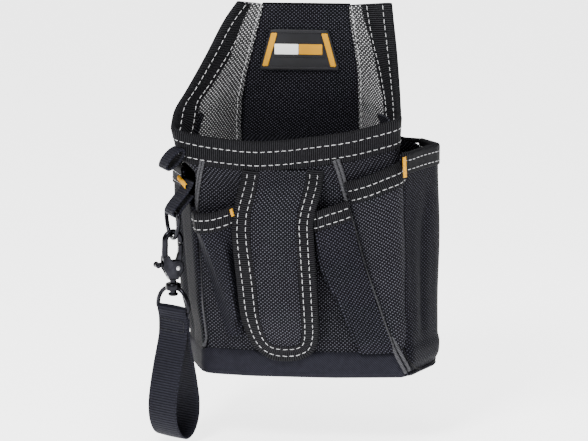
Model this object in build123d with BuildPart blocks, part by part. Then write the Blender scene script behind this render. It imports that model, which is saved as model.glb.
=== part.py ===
from build123d import *
from math import cos, sin, radians, hypot
import os

# Electrician tool pouch, millimetres. X to the viewer's right, -Y the front, +Y the wearer, +Z up.
# The origin is the middle of the belt tunnel behind the back panel.

# ---- driving sizes ----
top_z = 60.0            # top edge of the back panel
bottom_z = -194.0       # underside of the base
band_z = -176.0         # top of the base band
waist_z = -140.0        # height where the side pockets are fullest
pocket_rim_z = -42.0    # rim of the two side pockets
mouth_z = -12.0         # mouth level where the wings begin
body_depth = 83.5       # back lining to the front panel's fullest point
width_scale = 1.0       # scales every width of the body
fabric = 2.0            # wall of one padded fabric panel
binding = 1.3           # extra thickness of an edge binding on each face
skin = 1.5              # outer and inner skins of the back
board = 2.5             # polyethylene board in the back and base
belt_gap = 6.0          # free space for the belt
webbing = 1.7           # webbing thickness
strap_width = 25.0      # hanging tape strap
wire_r = 1.5            # wire of the D-ring and the swivel eye
pin_gap = 0.06          # radial running clearance of pins
seam = 0.05             # clearance between pieces that only touch

rear_y = -belt_gap / 2
face_y = rear_y - 2 * skin - board
front_y = face_y - body_depth
corner_y = front_y + 6.0
base_z = bottom_z + board

os.makedirs("parts", exist_ok=True)


def wide(x):
    return x * width_scale


# Plan stations: height, then front-left corner, front-right corner, widest left, widest right,
# back-left end, back-right end of the pockets, and the half width of the wing roots.
station = {
    base_z: [(-64, corner_y), (84, corner_y), (-80, -44), (94, -40), -76, 84, 46],
    band_z: [(-64, corner_y), (84, corner_y), (-80, -44), (94, -40), -76, 84, 46],
    waist_z: [(-68, corner_y), (80, corner_y), (-86, -46), (97, -42), -82, 86, 46],
    pocket_rim_z: [(-71, corner_y + 1), (77, corner_y + 1), (-90, -52), (98, -42), -84, 87, 45],
    mouth_z: [(-84, corner_y + 5), (79, corner_y + 5), (-92, -54), (98, -44), -84, 87, 43],
}
heights = sorted(station)
chest_x = 30.0          # where the front panel starts to round off


def station_at(z):
    """Plan station at any height, straight between the listed ones."""
    low = max(h for h in heights if h <= z)
    high = min(h for h in heights if h >= z)
    share = 0.0 if high == low else (z - low) / (high - low)
    mixed = []
    for a, b in zip(station[low], station[high]):
        if isinstance(a, tuple):
            mixed.append((a[0] + (b[0] - a[0]) * share, a[1] + (b[1] - a[1]) * share))
        else:
            mixed.append(a + (b - a) * share)
    return mixed


def moved(outline, amounts):
    """Closed counter-clockwise outline with edge i (point i to i + 1) moved inwards by amounts[i]."""
    result = []
    count = len(outline)
    for i, b in enumerate(outline):
        a = outline[i - 1]
        c = outline[(i + 1) % count]
        ux, uy = b[0] - a[0], b[1] - a[1]
        vx, vy = c[0] - b[0], c[1] - b[1]
        lu, lv = hypot(ux, uy), hypot(vx, vy)
        px, py = b[0] - uy / lu * amounts[i - 1], b[1] + ux / lu * amounts[i - 1]
        qx, qy = b[0] - vy / lv * amounts[i], b[1] + vx / lv * amounts[i]
        t = ((qx - px) * vy - (qy - py) * vx) / (ux * vy - uy * vx)
        result.append((px + ux * t, py + uy * t))
    return result


def main_outline(z):
    """Main compartment: front left, chest left, chest right, front right, wing roots."""
    left, right, _, _, _, _, root = station_at(z)
    return [(wide(left[0]), left[1]), (wide(-chest_x), front_y), (wide(chest_x), front_y),
            (wide(right[0]), right[1]), (wide(root), face_y), (-wide(root), face_y)]


def side_outline(z, side):
    """Side pocket on one side: front corner, widest, back end, wing root; counter-clockwise."""
    left, right, wide_left, wide_right, back_left, back_right, root = station_at(z)
    if side == "right":
        return [(wide(right[0]), right[1]), (wide(wide_right[0]), wide_right[1]),
                (wide(back_right), face_y), (wide(root), face_y)]
    return [(-wide(root), face_y), (wide(back_left), face_y),
            (wide(wide_left[0]), wide_left[1]), (wide(left[0]), left[1])]


def outline_face(plane, points):
    """Flat face inside a closed outline on a plane."""
    with BuildSketch(plane) as flat:
        with BuildLine():
            Polyline(*points, close=True)
        make_face()
    return flat.sketch.faces()[0]


def loft_through(sections, mode=Mode.ADD):
    """Ruled solid through closed plan outlines at their heights, inside the current builder."""
    loft([outline_face(Plane.XY.offset(z), points) for z, points in sections], ruled=True, mode=mode)


def write(builder, name):
    builder.part.label = name
    export_step(builder.part, f"parts/{name}.step")


body_levels = [base_z, band_z, waist_z, pocket_rim_z, mouth_z]
rim_front_y = corner_y + 20.0
rim_slope = 0.352
rim_plane = Plane(origin=(0, rim_front_y, mouth_z), x_dir=(1, 0, 0), z_dir=(0, -rim_slope, 1))

# ---- back: outer skin with a recess for the board, board, lining ----
shoulder_z = pocket_rim_z + 1.0


def back_outline(trim):
    s_base, s_waist, s_rim = station[base_z], station[waist_z], station[pocket_rim_z]
    root_mid, root_top = station[mouth_z][6] + 1.0, 32.0
    return [(wide(s_base[4]) + trim, bottom_z + trim), (wide(s_base[5]) - trim, bottom_z + trim),
            (wide(s_waist[5]) - trim, waist_z), (wide(s_rim[5]) - trim, shoulder_z - trim),
            (wide(root_mid) - trim, mouth_z + 4.0 - trim), (wide(root_top) - trim, top_z - trim),
            (-wide(root_top) + trim, top_z - trim), (-wide(root_mid) + trim, mouth_z + 4.0 - trim),
            (wide(s_rim[4]) + trim, shoulder_z - trim), (wide(s_waist[4]) + trim, waist_z)]


def back_layer(start_y, depth, trim, mode=Mode.ADD):
    layer = outline_face(Plane(origin=(0, start_y, 0), x_dir=(1, 0, 0), z_dir=(0, -1, 0)), back_outline(trim))
    extrude(layer, amount=depth, mode=mode)


with BuildPart() as back_panel:
    back_layer(rear_y, skin + board, 0.0)
    back_layer(rear_y - skin, board, 7.0, Mode.SUBTRACT)
write(back_panel, "back_panel")

with BuildPart() as back_board:
    back_layer(rear_y - skin, board, 7.0)
write(back_board, "back_board")

with BuildPart() as back_lining:
    back_layer(rear_y - skin - board, skin, 0.0)
write(back_lining, "back_lining")

# ---- base panel, base board and base band ----


def base_outline():
    left, right, wide_left, wide_right, back_left, back_right, root = station[base_z]
    return [(wide(left[0]), left[1]), (wide(-chest_x), front_y), (wide(chest_x), front_y),
            (wide(right[0]), right[1]), (wide(wide_right[0]), wide_right[1]),
            (wide(back_right), face_y), (wide(back_left), face_y), (wide(wide_left[0]), wide_left[1])]


with BuildPart() as base_panel:
    loft_through([(bottom_z, base_outline()), (base_z, base_outline())])
write(base_panel, "base_panel")

with BuildPart() as base_board:
    main_floor = moved(main_outline(base_z), [fabric + 1.5] * 4 + [1.5, fabric + 1.5])
    loft_through([(base_z, main_floor), (base_z + board, main_floor)])
write(base_board, "base_board")

band_edges = [-binding] * 5 + [0.0] + [-binding] * 2
with BuildPart() as base_band:
    loft_through([(bottom_z, moved(base_outline(), band_edges)), (band_z, moved(base_outline(), band_edges))])
    with BuildSketch(Plane.XY.offset(bottom_z)):
        with BuildLine():
            Polyline(*base_outline(), close=True)
        make_face()
    extrude(amount=band_z - bottom_z, mode=Mode.SUBTRACT)
write(base_band, "base_band")

# ---- main compartment walls ----
wall_moves = [fabric, fabric, fabric, fabric, 0.0, fabric]


def wall_piece(z, first, last):
    """Plan section of the walls from outline point first to point last."""
    outer = main_outline(z)
    inner = moved(outer, wall_moves)
    return outer[first:last + 1] + inner[first:last + 1][::-1]


with BuildPart() as front_panel:
    loft_through([(z, wall_piece(z, 0, 3)) for z in body_levels])
    split(bisect_by=rim_plane, keep=Keep.BOTTOM)
write(front_panel, "front_panel")

with BuildPart() as gusset_right:
    loft_through([(z, wall_piece(z, 3, 4)) for z in body_levels])
    split(bisect_by=rim_plane, keep=Keep.BOTTOM)
write(gusset_right, "gusset_right")


def left_wall(z):
    outer = main_outline(z)
    inner = moved(outer, wall_moves)
    return [outer[5], outer[0], inner[0], inner[5]]


with BuildPart() as gusset_left:
    loft_through([(z, left_wall(z)) for z in body_levels])
    split(bisect_by=rim_plane, keep=Keep.BOTTOM)
write(gusset_left, "gusset_left")

# ---- wings above the mouth, their grey facings and edge bindings ----
wing_top = (54.0, -20.0)
wing_root_top = 32.0
edge_width = 13.0
facing = 1.0


def wing_line(z, side):
    """Root and free end of the wing's outer face at the mouth level or at the top."""
    if z == top_z:
        root, end = (wide(wing_root_top), face_y), (wide(wing_top[0]), wing_top[1])
        return (root, end) if side > 0 else ((-root[0], root[1]), (-end[0], end[1]))
    outer = main_outline(z)
    root, corner = (outer[4], outer[3]) if side > 0 else (outer[5], outer[0])
    share = (rim_front_y - root[1]) / (corner[1] - root[1])
    return root, (root[0] + (corner[0] - root[0]) * share, rim_front_y)


def wing_section(z, side, start, end, near, far):
    """Slab along the wing from start to end, near and far measured inwards from its outer face."""
    root, tip = wing_line(z, side)
    length = hypot(tip[0] - root[0], tip[1] - root[1])
    along = ((tip[0] - root[0]) / length, (tip[1] - root[1]) / length)
    inward = (side * along[1], -side * along[0])
    reach = length if end is None else length - end
    begin = 0.0 if start is None else length - start
    points = []
    for distance, depth in ((begin, near), (reach, near), (reach, far), (begin, far)):
        shift = 0.0
        if start is None and distance == begin:
            shift = -depth * inward[1] / along[1]
        points.append((root[0] + along[0] * (distance + shift) + inward[0] * depth,
                       root[1] + along[1] * (distance + shift) + inward[1] * depth))
    return points


def wing_loft(side, start, end, near, far, mode=Mode.ADD):
    loft_through([(z, wing_section(z, side, start, end, near, far)) for z in (mouth_z, top_z)], mode)


for side, side_name in ((1, "right"), (-1, "left")):
    with BuildPart() as wing:
        wing_loft(side, None, None, 0.0, fabric)
    write(wing, f"wing_{side_name}")
    with BuildPart() as wing_facing:
        wing_loft(side, None, edge_width + 0.3, fabric, fabric + facing)
    write(wing_facing, f"wing_facing_{side_name}")
    with BuildPart() as wing_binding:
        wing_loft(side, edge_width, -binding, -binding, fabric + binding)
        add(wing.part, mode=Mode.SUBTRACT)
    write(wing_binding, f"wing_binding_{side_name}")

# ---- mouth binding around the front rim ----
mouth_band = 20.0


def extrude_past(z):
    """Main outline straight on past the mouth level."""
    low, high = main_outline(pocket_rim_z), main_outline(mouth_z)
    share = (z - pocket_rim_z) / (mouth_z - pocket_rim_z)
    return [(a[0] + (b[0] - a[0]) * share, a[1] + (b[1] - a[1]) * share) for a, b in zip(low, high)]


band_top_plane = rim_plane.offset(binding)
band_low_plane = rim_plane.offset(binding - mouth_band)
with BuildPart() as mouth_binding:
    ring_moves = [-binding] * 4 + [0.0, -binding]
    hole_moves = [fabric + binding] * 4 + [0.0, fabric + binding]
    band_levels = (pocket_rim_z, mouth_z + 3.0)
    loft_through([(z, moved(extrude_past(z), ring_moves)) for z in band_levels])
    loft_through([(z, moved(extrude_past(z), hole_moves)) for z in band_levels], Mode.SUBTRACT)
    split(bisect_by=band_top_plane, keep=Keep.BOTTOM)
    split(bisect_by=band_low_plane, keep=Keep.TOP)
    split(bisect_by=Plane(origin=(0, rim_front_y - binding - 1.9, 0), x_dir=(1, 0, 0), z_dir=(0, -1, 0)),
          keep=Keep.TOP)
    add(front_panel.part, mode=Mode.SUBTRACT)
    add(gusset_left.part, mode=Mode.SUBTRACT)
    add(gusset_right.part, mode=Mode.SUBTRACT)
write(mouth_binding, "mouth_binding")

# ---- side pockets and their rim bindings ----
pocket_levels = [base_z, band_z, waist_z, pocket_rim_z]
rim_band = 15.0
right_moves = [(1, 0), (1, 0), (0, seam), (0, seam)]
left_moves = [(0, seam), (1, 0), (1, 0), (0, seam)]


def pocket_section(z, side, near, far):
    """Layer of a side pocket in plan, from near to far measured inwards from the wall's outer face."""
    outline = side_outline(z, side)
    moves = right_moves if side == "right" else left_moves
    outer = moved(outline, [share * near + clear for share, clear in moves])
    inner = moved(outline, [share * far + clear for share, clear in moves])
    if side == "right":
        return outer[0:3] + inner[0:3][::-1]
    return outer[1:4] + inner[1:4][::-1]


for side in ("right", "left"):
    with BuildPart() as side_pocket:
        loft_through([(z, pocket_section(z, side, 0.0, fabric)) for z in pocket_levels])
    write(side_pocket, f"side_pocket_{side}")
    with BuildPart() as pocket_binding:
        for near, far, low, high in ((-binding, 0.0, -rim_band, 0.0), (fabric, fabric + binding, -rim_band, 0.0),
                                     (-binding, fabric + binding, 0.0, binding)):
            loft_through([(pocket_rim_z + rise, pocket_section(pocket_rim_z + rise, side, near, far))
                          for rise in (low, high)])
    write(pocket_binding, f"side_binding_{side}")

# ---- pieces on the front: wrap pocket, two small pockets, tongue ----


def face_at(x, z):
    """Front face of the main compartment at a given X and height."""
    outer = main_outline(z)
    a, b = (outer[0], outer[1]) if x < wide(-chest_x) else (outer[2], outer[3])
    if wide(-chest_x) <= x <= wide(chest_x):
        return front_y
    return a[1] + (b[1] - a[1]) * (x - a[0]) / (b[0] - a[0])


sunk = 0.9


def pouch_section(z, x_low, x_high, bulge, grow):
    """Plan block standing off the front face by bulge, its back sunk in the wall, sides moved out by grow."""
    return [(x_low - grow, face_at(x_low - grow, z) + sunk), (x_low - grow, face_at(x_low, z) - bulge - grow),
            (x_high + grow, face_at(x_high, z) - bulge - grow), (x_high + grow, face_at(x_high + grow, z) + sunk)]


def pouch_loft(levels, grow, mode=Mode.ADD):
    loft_through([(z, pouch_section(z, wide(x_low), wide(x_high), bulge, grow))
                  for z, x_low, x_high, bulge in levels], mode)


def blend_level(levels, z):
    for low, high in zip(levels, levels[1:]):
        if low[0] <= z <= high[0]:
            share = (z - low[0]) / (high[0] - low[0])
            return tuple(a + (b - a) * share for a, b in zip(low, high))
    return levels[-1]


small_pockets = {
    "left": [(-163.0, -50.0, -43.0, 9.0), (waist_z, -54.5, -42.5, 11.0), (-78.0, -63.0, -43.0, 13.0)],
    "right": [(-165.0, 43.0, 56.0, 7.0), (waist_z, 33.0, 52.0, 10.0), (-109.0, 22.5, 45.5, 12.0),
              (-72.0, 20.5, 35.2, 13.0)],
}
small_band = 13.0
for side, levels in small_pockets.items():
    floor = blend_level(levels, levels[0][0] + 3.0)
    hollow = [floor] + [level for level in levels if level[0] > floor[0] + 1.0]
    with BuildPart() as small_pocket:
        pouch_loft(levels, 0.0)
        pouch_loft(hollow, -fabric, Mode.SUBTRACT)
        add(front_panel.part, mode=Mode.SUBTRACT)
    write(small_pocket, f"front_pocket_{side}")
    rim = levels[-1]
    collar = [blend_level(levels, rim[0] - small_band), rim, (rim[0] + binding, *rim[1:])]
    with BuildPart() as small_binding:
        pouch_loft(collar, binding)
        pouch_loft(collar, -fabric - binding, Mode.SUBTRACT)
        add(small_pocket.part, mode=Mode.SUBTRACT)
        add(front_panel.part, mode=Mode.SUBTRACT)
    write(small_binding, f"front_binding_{side}")

# The wrap pocket carries the right side pocket on round the corner to the diagonal piping.
wrap_bulge = 8.0
wrap_levels = [(band_z, 78.0, 81.0), (waist_z, 64.0, 77.0), (-100.0, 53.0, 76.5), (-54.0, 40.0, 74.5)]
with BuildPart() as wrap_pocket:
    pouch_loft([(z, low, high, wrap_bulge) for z, low, high in wrap_levels], 0.0)
    pouch_loft([(z, low, high, wrap_bulge) for z, low, high in wrap_levels[1:]], -fabric, Mode.SUBTRACT)
    add(front_panel.part, mode=Mode.SUBTRACT)
write(wrap_pocket, "wrap_pocket_right")

wrap_collar = [(-54.0 - rim_band, *blend_level(wrap_levels, -54.0 - rim_band)[1:], wrap_bulge),
               (-54.0, 40.0, 74.5, wrap_bulge), (-54.0 + binding, 40.0, 74.5, wrap_bulge)]
with BuildPart() as wrap_binding:
    pouch_loft(wrap_collar, binding)
    pouch_loft(wrap_collar, -fabric - binding, Mode.SUBTRACT)
    add(wrap_pocket.part, mode=Mode.SUBTRACT)
    add(front_panel.part, mode=Mode.SUBTRACT)
write(wrap_binding, "wrap_binding_right")

# Piping cords: front left corner, and the diagonal beside the wrap pocket.
cord_r = 1.6
octagon = [(cord_r * cos(radians(22.5 + 45 * k)), cord_r * sin(radians(22.5 + 45 * k))) for k in range(8)]


def cord_loft(points):
    loft_through([(z, [(x + a, y + b) for a, b in octagon]) for x, y, z in points])


with BuildPart() as piping_left:
    cord_loft([(main_outline(z)[0][0] + 2.0, face_at(main_outline(z)[0][0] + 2.0, z) - cord_r - 0.25, z)
               for z in (band_z + 0.2, waist_z, pocket_rim_z - 1.0)])
write(piping_left, "piping_left")

diagonal = [(band_z + 0.2, 74.5), (waist_z, 60.0), (-100.0, 49.5), (-69.5, 37.0 + 1.2), (-41.5, 31.5)]
with BuildPart() as piping_right:
    cord_loft([(wide(x), face_at(wide(x), z) - cord_r - 0.25, z) for z, x in diagonal])
write(piping_right, "piping_right")

# Tongue: a bowed strip sewn under the mouth binding and onto the base band.
tongue_levels = [(-183.0, -24.0, 12.0, 1.5), (-170.0, -29.5, 17.0, 4.0), (waist_z, -34.5, 15.0, 13.5),
                 (-95.0, -38.5, 14.0, 16.0), (-62.0, -36.5, 17.0, 11.0), (-43.0, -33.5, 20.5, 1.5)]
tongue_edge = 10.0


def tongue_section(z, x_low, x_high, stand, near, far):
    y = front_y - stand
    return [(x_low, y + near), (x_low, y - far), (x_high, y - far), (x_high, y + near)]


def tongue_loft(x_pairs, near, far, mode=Mode.ADD, levels=None):
    rows = tongue_levels if levels is None else levels
    loft_through([(z, tongue_section(z, x_low, x_high, stand, near, far))
                  for (z, low, high, stand), (x_low, x_high) in zip(rows, x_pairs)], mode)


with BuildPart() as tongue_panel:
    tongue_loft([(wide(low), wide(high)) for _, low, high, _ in tongue_levels], 0.0, fabric)
write(tongue_panel, "tongue_panel")

with BuildPart() as tongue_binding:
    near, far = 0.0, fabric + binding
    tongue_loft([(wide(low) - binding, wide(low) + tongue_edge) for _, low, _, _ in tongue_levels], near, far)
    tongue_loft([(wide(high) - tongue_edge, wide(high) + binding) for _, _, high, _ in tongue_levels], near, far)
    foot = tongue_levels[:2]
    tongue_loft([(wide(low), wide(high)) for _, low, high, _ in foot], near, far, levels=foot)
    add(tongue_panel.part, mode=Mode.SUBTRACT)
write(tongue_binding, "tongue_binding")

# ---- badge on the back panel's lining ----
badge_z = (13.5, 43.5)
badge_half = (29.5, 21.3)
badge_x = -2.5
badge_t = 2.6
raised = 0.8


def badge_face(points, start, height, mode=Mode.ADD):
    quad = outline_face(Plane(origin=(0, start, 0), x_dir=(1, 0, 0), z_dir=(0, -1, 0)), points)
    extrude(quad, amount=height, mode=mode)


def badge_half_at(z):
    share = (z - badge_z[0]) / (badge_z[1] - badge_z[0])
    return badge_half[0] + (badge_half[1] - badge_half[0]) * share


def badge_quad(z_low, z_high, left_low, right_low, left_high, right_high):
    return [(badge_x + left_low, z_low), (badge_x + right_low, z_low),
            (badge_x + right_high, z_high), (badge_x + left_high, z_high)]


with BuildPart() as badge_plate:
    low, high = badge_half
    badge_face(badge_quad(*badge_z, -low, low, -high, high), face_y, badge_t)
write(badge_plate, "badge_plate")

bar_z = (badge_z[0] + 2.0, badge_z[1] - 2.0)
with BuildPart() as badge_bars:
    for sign in (-1, 1):
        outs = [sign * (badge_half_at(z) - 1.8) for z in bar_z]
        ins = [sign * (badge_half_at(z) - 6.0) for z in bar_z]
        quad = badge_quad(*bar_z, min(ins[0], outs[0]), max(ins[0], outs[0]),
                          min(ins[1], outs[1]), max(ins[1], outs[1]))
        badge_face(quad, face_y - badge_t, raised)
write(badge_bars, "badge_bars")

stripe_z = (24.5, 32.5)
with BuildPart() as badge_stripe_white:
    badge_face(badge_quad(*stripe_z, -17.5, 0.0, -17.5, 0.0), face_y - badge_t, raised)
write(badge_stripe_white, "badge_stripe_white")
with BuildPart() as badge_stripe_yellow:
    badge_face(badge_quad(*stripe_z, 0.0, 17.5, 0.0, 17.5), face_y - badge_t, raised)
write(badge_stripe_yellow, "badge_stripe_yellow")

# ---- belt tunnel on the wearer's side ----
tunnel_half = 34.0
tunnel_flange = 14.0
tunnel_width = 70.0
sleeve_y = belt_gap / 2
with BuildPart() as belt_tunnel:
    with BuildSketch(Plane.YZ.offset(-tunnel_width / 2)):
        with BuildLine():
            Polyline((rear_y, tunnel_half + tunnel_flange), (rear_y + webbing, tunnel_half + tunnel_flange),
                     (rear_y + webbing, tunnel_half + 4), (sleeve_y + webbing, tunnel_half - 4),
                     (sleeve_y + webbing, -tunnel_half + 4), (rear_y + webbing, -tunnel_half - 4),
                     (rear_y + webbing, -tunnel_half - tunnel_flange), (rear_y, -tunnel_half - tunnel_flange),
                     (rear_y, -tunnel_half - 2), (sleeve_y, -tunnel_half + 6),
                     (sleeve_y, tunnel_half - 6), (rear_y, tunnel_half + 2), close=True)
        make_face()
    extrude(amount=tunnel_width)
write(belt_tunnel, "belt_tunnel")

# ---- hanging chain at the left: frame turned so that its own X points at the side pocket ----
chain_off = 15.0        # chain axis to the side pocket wall
chain_along = 6.0       # along the wall from the front corner
hang_z = -65.0          # height where the wall is measured
wall_front, _, wall_back = station_at(-53.0)[:3]
wall_run = (wide(wall_back[0] - wall_front[0]), wall_back[1] - wall_front[1])
ey = (wall_run[0] / hypot(*wall_run), wall_run[1] / hypot(*wall_run), 0.0)
ex = (ey[1], -ey[0], 0.0)
corner_at = station_at(hang_z)[0]
chain_x = wide(corner_at[0]) - ex[0] * chain_off + ey[0] * chain_along
chain_y = corner_at[1] - ex[1] * chain_off + ey[1] * chain_along
hook_plane = Plane(origin=(chain_x, chain_y, 0), x_dir=ex, z_dir=(ex[1], -ex[0], 0))
ring_plane = Plane(origin=(chain_x, chain_y, 0), x_dir=ey, z_dir=ex)
eye_yaw = -33.0
ew = (cos(radians(eye_yaw)), sin(radians(eye_yaw)), 0.0)
en = (-ew[1], ew[0], 0.0)
eye_plane = Plane(origin=(chain_x, chain_y, 0), x_dir=ew, z_dir=(ew[1], -ew[0], 0))
loop_plane = Plane(origin=(chain_x, chain_y, 0), x_dir=en, z_dir=ew)
axis_plane = Plane(origin=(chain_x, chain_y, 0), x_dir=ex, z_dir=(0, 0, 1))

bar_z0 = -77.0
ring_half = 12.0
ring_drop = 19.0
tab_width = 15.0


def rod_between(plane, a, b, r):
    """Round rod from a to b, both in the plane, with ball ends."""
    start, end = plane.from_local_coords((*a, 0)), plane.from_local_coords((*b, 0))
    direction = end - start
    with BuildSketch(Plane(origin=start, z_dir=direction)) as end_disc:
        Circle(r)
    extrude(end_disc.sketch, amount=direction.length)
    for spot in (start, end):
        with Locations(spot):
            Sphere(r)


def rod_arc(plane, a, mid, b, r):
    with BuildLine() as path:
        ThreePointArc(*[plane.from_local_coords((*p, 0)) for p in (a, mid, b)])
    with BuildSketch(Plane(origin=path.line @ 0, z_dir=path.line % 0)) as disc:
        Circle(r)
    sweep(disc.sketch, path=path.line)


with BuildPart() as d_ring:
    rod_between(ring_plane, (-ring_half, bar_z0), (ring_half, bar_z0), wire_r)
    rod_arc(ring_plane, (ring_half, bar_z0), (0, bar_z0 - ring_drop), (-ring_half, bar_z0), wire_r)
write(d_ring, "d_ring")

tab_hole = wire_r + pin_gap
with BuildPart() as ring_tab:
    with BuildSketch(hook_plane.offset(-tab_width / 2)):
        with BuildLine():
            Polyline((chain_off - binding - 0.3, -58.0), (chain_off - binding - 0.3, -69.0), (3.4, bar_z0 - 1.5),
                     (0.0, bar_z0 - 3.3), (-3.1, bar_z0 - 1.0), (-3.1, bar_z0 + 1.2),
                     (6.0, -59.5), (10.0, -57.5), close=True)
        make_face()
        with Locations((0, bar_z0)):
            Circle(tab_hole, mode=Mode.SUBTRACT)
    extrude(amount=tab_width)
write(ring_tab, "ring_tab")

# Webbing loop above the tab, sewn to the side pocket's rim.
loop_width = 14.0
with BuildPart() as side_loop:
    with BuildSketch(hook_plane.offset(-loop_width / 2 - 6.0)):
        with Locations((chain_off - 10.4, -47.5)):
            SlotOverall(16.0, 10.6, rotation=35)
            SlotOverall(16.0 - 2 * webbing, 10.6 - 2 * webbing, rotation=35, mode=Mode.SUBTRACT)
    extrude(amount=loop_width)
write(side_loop, "side_loop")

# Snap hook: round arch over the D-ring, slotted body, spring gate, swivel pin.
arch_r = 2.25
arch_half = 5.9
arch_z = -97.8
ring_top = bar_z0 - ring_drop + wire_r
arch_crown = ring_top + 0.35 + arch_r
body_half = 3.1
slot_half = 2.0
pivot = (3.0, -117.5)
rivet_r = 1.5
neck_z = -126.0
with BuildPart() as hook_body:
    rod_arc(hook_plane, (-arch_half, arch_z), (0, arch_crown), (arch_half, arch_z), arch_r)
    rod_between(hook_plane, (-arch_half, arch_z), (-arch_half, -110.0), arch_r)
    with Locations(hook_plane.from_local_coords((arch_half, arch_z, 0))):
        Sphere(arch_r)
    with BuildSketch(hook_plane.offset(-body_half)):
        with BuildLine():
            Polyline((-8.3, -107.5), (-3.4, -107.5), (-1.5, -112.2), (7.4, -112.2), (7.4, -119.5),
                     (3.2, neck_z), (-3.2, neck_z), (-8.3, -117.0), close=True)
        make_face()
    extrude(amount=2 * body_half)
    with BuildSketch(hook_plane.offset(-slot_half)):
        with Locations((0, -117.2)):
            Rectangle(30.0, 10.4)
    extrude(amount=2 * slot_half, mode=Mode.SUBTRACT)
    with BuildSketch(hook_plane.offset(-body_half)):
        with Locations(pivot):
            Circle(rivet_r)
    extrude(amount=2 * body_half, mode=Mode.SUBTRACT)
write(hook_body, "hook_body")

with BuildPart() as gate_rivet:
    with BuildSketch(hook_plane.offset(-body_half - 0.6)):
        with Locations(pivot):
            Circle(rivet_r)
    extrude(amount=2 * body_half + 1.2)
write(gate_rivet, "gate_rivet")

gate_half = 1.6
with BuildPart() as gate:
    with BuildSketch(hook_plane.offset(-gate_half)):
        with Locations(pivot):
            Circle(2.9)
        with BuildLine():
            Polyline((0.3, -116.8), (3.9, -106.0), (4.1, -100.7), (7.7, -100.7), (7.2, -107.0), (5.6, -118.6),
                     close=True)
        make_face()
        with BuildLine():
            Polyline((3.0, -115.0), (-9.5, -113.0), (-11.6, -113.2), (-11.6, -115.6), (-9.5, -116.0),
                     (2.0, -119.0), close=True)
        make_face()
        with Locations(pivot):
            Circle(rivet_r + pin_gap, mode=Mode.SUBTRACT)
    extrude(amount=2 * gate_half)
    with BuildSketch(hook_plane.offset(-3.6)):
        with Locations((-12.0, -114.4)):
            Circle(2.1)
    extrude(amount=7.2)
write(gate, "gate")

spring_r = 1.2
spring_wire = 0.3
spring_low = -122.0
spring_x = -4.6
with BuildPart() as gate_spring:
    spring_at = hook_plane.from_local_coords((spring_x, spring_low, 0))
    for turn in range(4):
        with Locations(spring_at + Vector(0, 0, 0.45 + turn * 1.0)):
            Torus(spring_r, spring_wire)
write(gate_spring, "gate_spring")

pin_r = 2.3
head_r = 3.6
collar_r = 5.4
collar_z = (-133.6, -128.6)
pin_low = -137.6
with BuildPart() as swivel_pin:
    with BuildSketch(axis_plane.offset(pin_low)):
        Circle(head_r)
    extrude(amount=1.9)
    with BuildSketch(axis_plane.offset(pin_low)):
        Circle(pin_r)
    extrude(amount=neck_z - pin_low)
write(swivel_pin, "swivel_pin")

eye_bend = wire_r + 0.1
eye_half = strap_width / 2 + eye_bend + 0.1
eye_crown_z = -131.4
eye_bar_z = eye_crown_z - eye_half - 2.4
eye_side_z = eye_crown_z - eye_half
bend_z = eye_bar_z + eye_bend
bend_x = eye_half - eye_bend
bend_mid = eye_bend * cos(radians(45))
with BuildPart() as swivel_eye:
    with BuildLine(eye_plane) as eye_path:
        ThreePointArc((eye_half, eye_side_z), (0, eye_crown_z), (-eye_half, eye_side_z))
        Line((-eye_half, eye_side_z), (-eye_half, bend_z))
        ThreePointArc((-eye_half, bend_z), (-bend_x - bend_mid, bend_z - bend_mid), (-bend_x, eye_bar_z))
        Line((-bend_x, eye_bar_z), (bend_x, eye_bar_z))
        ThreePointArc((bend_x, eye_bar_z), (bend_x + bend_mid, bend_z - bend_mid), (eye_half, bend_z))
        Line((eye_half, bend_z), (eye_half, eye_side_z))
    with BuildSketch(Plane(origin=eye_path.line @ 0, z_dir=eye_path.line % 0)):
        Circle(wire_r)
    sweep(path=eye_path.line)
    with BuildSketch(axis_plane.offset(collar_z[0])):
        Circle(collar_r)
    extrude(amount=collar_z[1] - collar_z[0])
    with BuildSketch(axis_plane.offset(collar_z[0] - 3.0)):
        Circle(pin_r + pin_gap)
    extrude(amount=12.0, mode=Mode.SUBTRACT)
write(swivel_eye, "swivel_eye")

# Tape strap: one webbing loop through the eye, sewn together below the bar.
half = webbing / 2
fold_r = wire_r + pin_gap + webbing
sewn_z = (eye_bar_z - 6.0, eye_bar_z - 17.0)
strap_low = eye_bar_z - 94.5
strap_drops = [(3.2, 27.0), (6.6, 40.0), (11.0, 56.0), (13.4, 69.0), (12.0, 81.0), (7.2, 89.5)]
strap_side = [(x, eye_bar_z - drop) for x, drop in strap_drops]


with BuildPart() as tape_strap:
    with BuildSketch(loop_plane.offset(-strap_width / 2)):
        with BuildLine():
            Spline((webbing, sewn_z[1]), *[(x + half, z) for x, z in strap_side], (0, strap_low),
                   *[(-x - half, z) for x, z in strap_side[::-1]], (-webbing, sewn_z[1]))
            Line((-webbing, sewn_z[1]), (webbing, sewn_z[1]))
        make_face()
        with BuildLine():
            Spline((0.3, sewn_z[1] - 4.0), *[(x - half, z) for x, z in strap_side], (0, strap_low + webbing),
                   *[(-x + half, z) for x, z in strap_side[::-1]], (-0.3, sewn_z[1] - 4.0))
            Line((-0.3, sewn_z[1] - 4.0), (0.3, sewn_z[1] - 4.0))
        make_face(mode=Mode.SUBTRACT)
        with BuildLine():
            Polyline((-webbing, sewn_z[1]), (webbing, sewn_z[1]), (webbing, sewn_z[0]), (fold_r, eye_bar_z - 0.6),
                     (-fold_r, eye_bar_z - 0.6), (-webbing, sewn_z[0]), close=True)
        make_face()
        with Locations((0, eye_bar_z)):
            Circle(fold_r)
            Circle(wire_r + pin_gap, mode=Mode.SUBTRACT)
    extrude(amount=strap_width)
write(tape_strap, "tape_strap")

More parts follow.
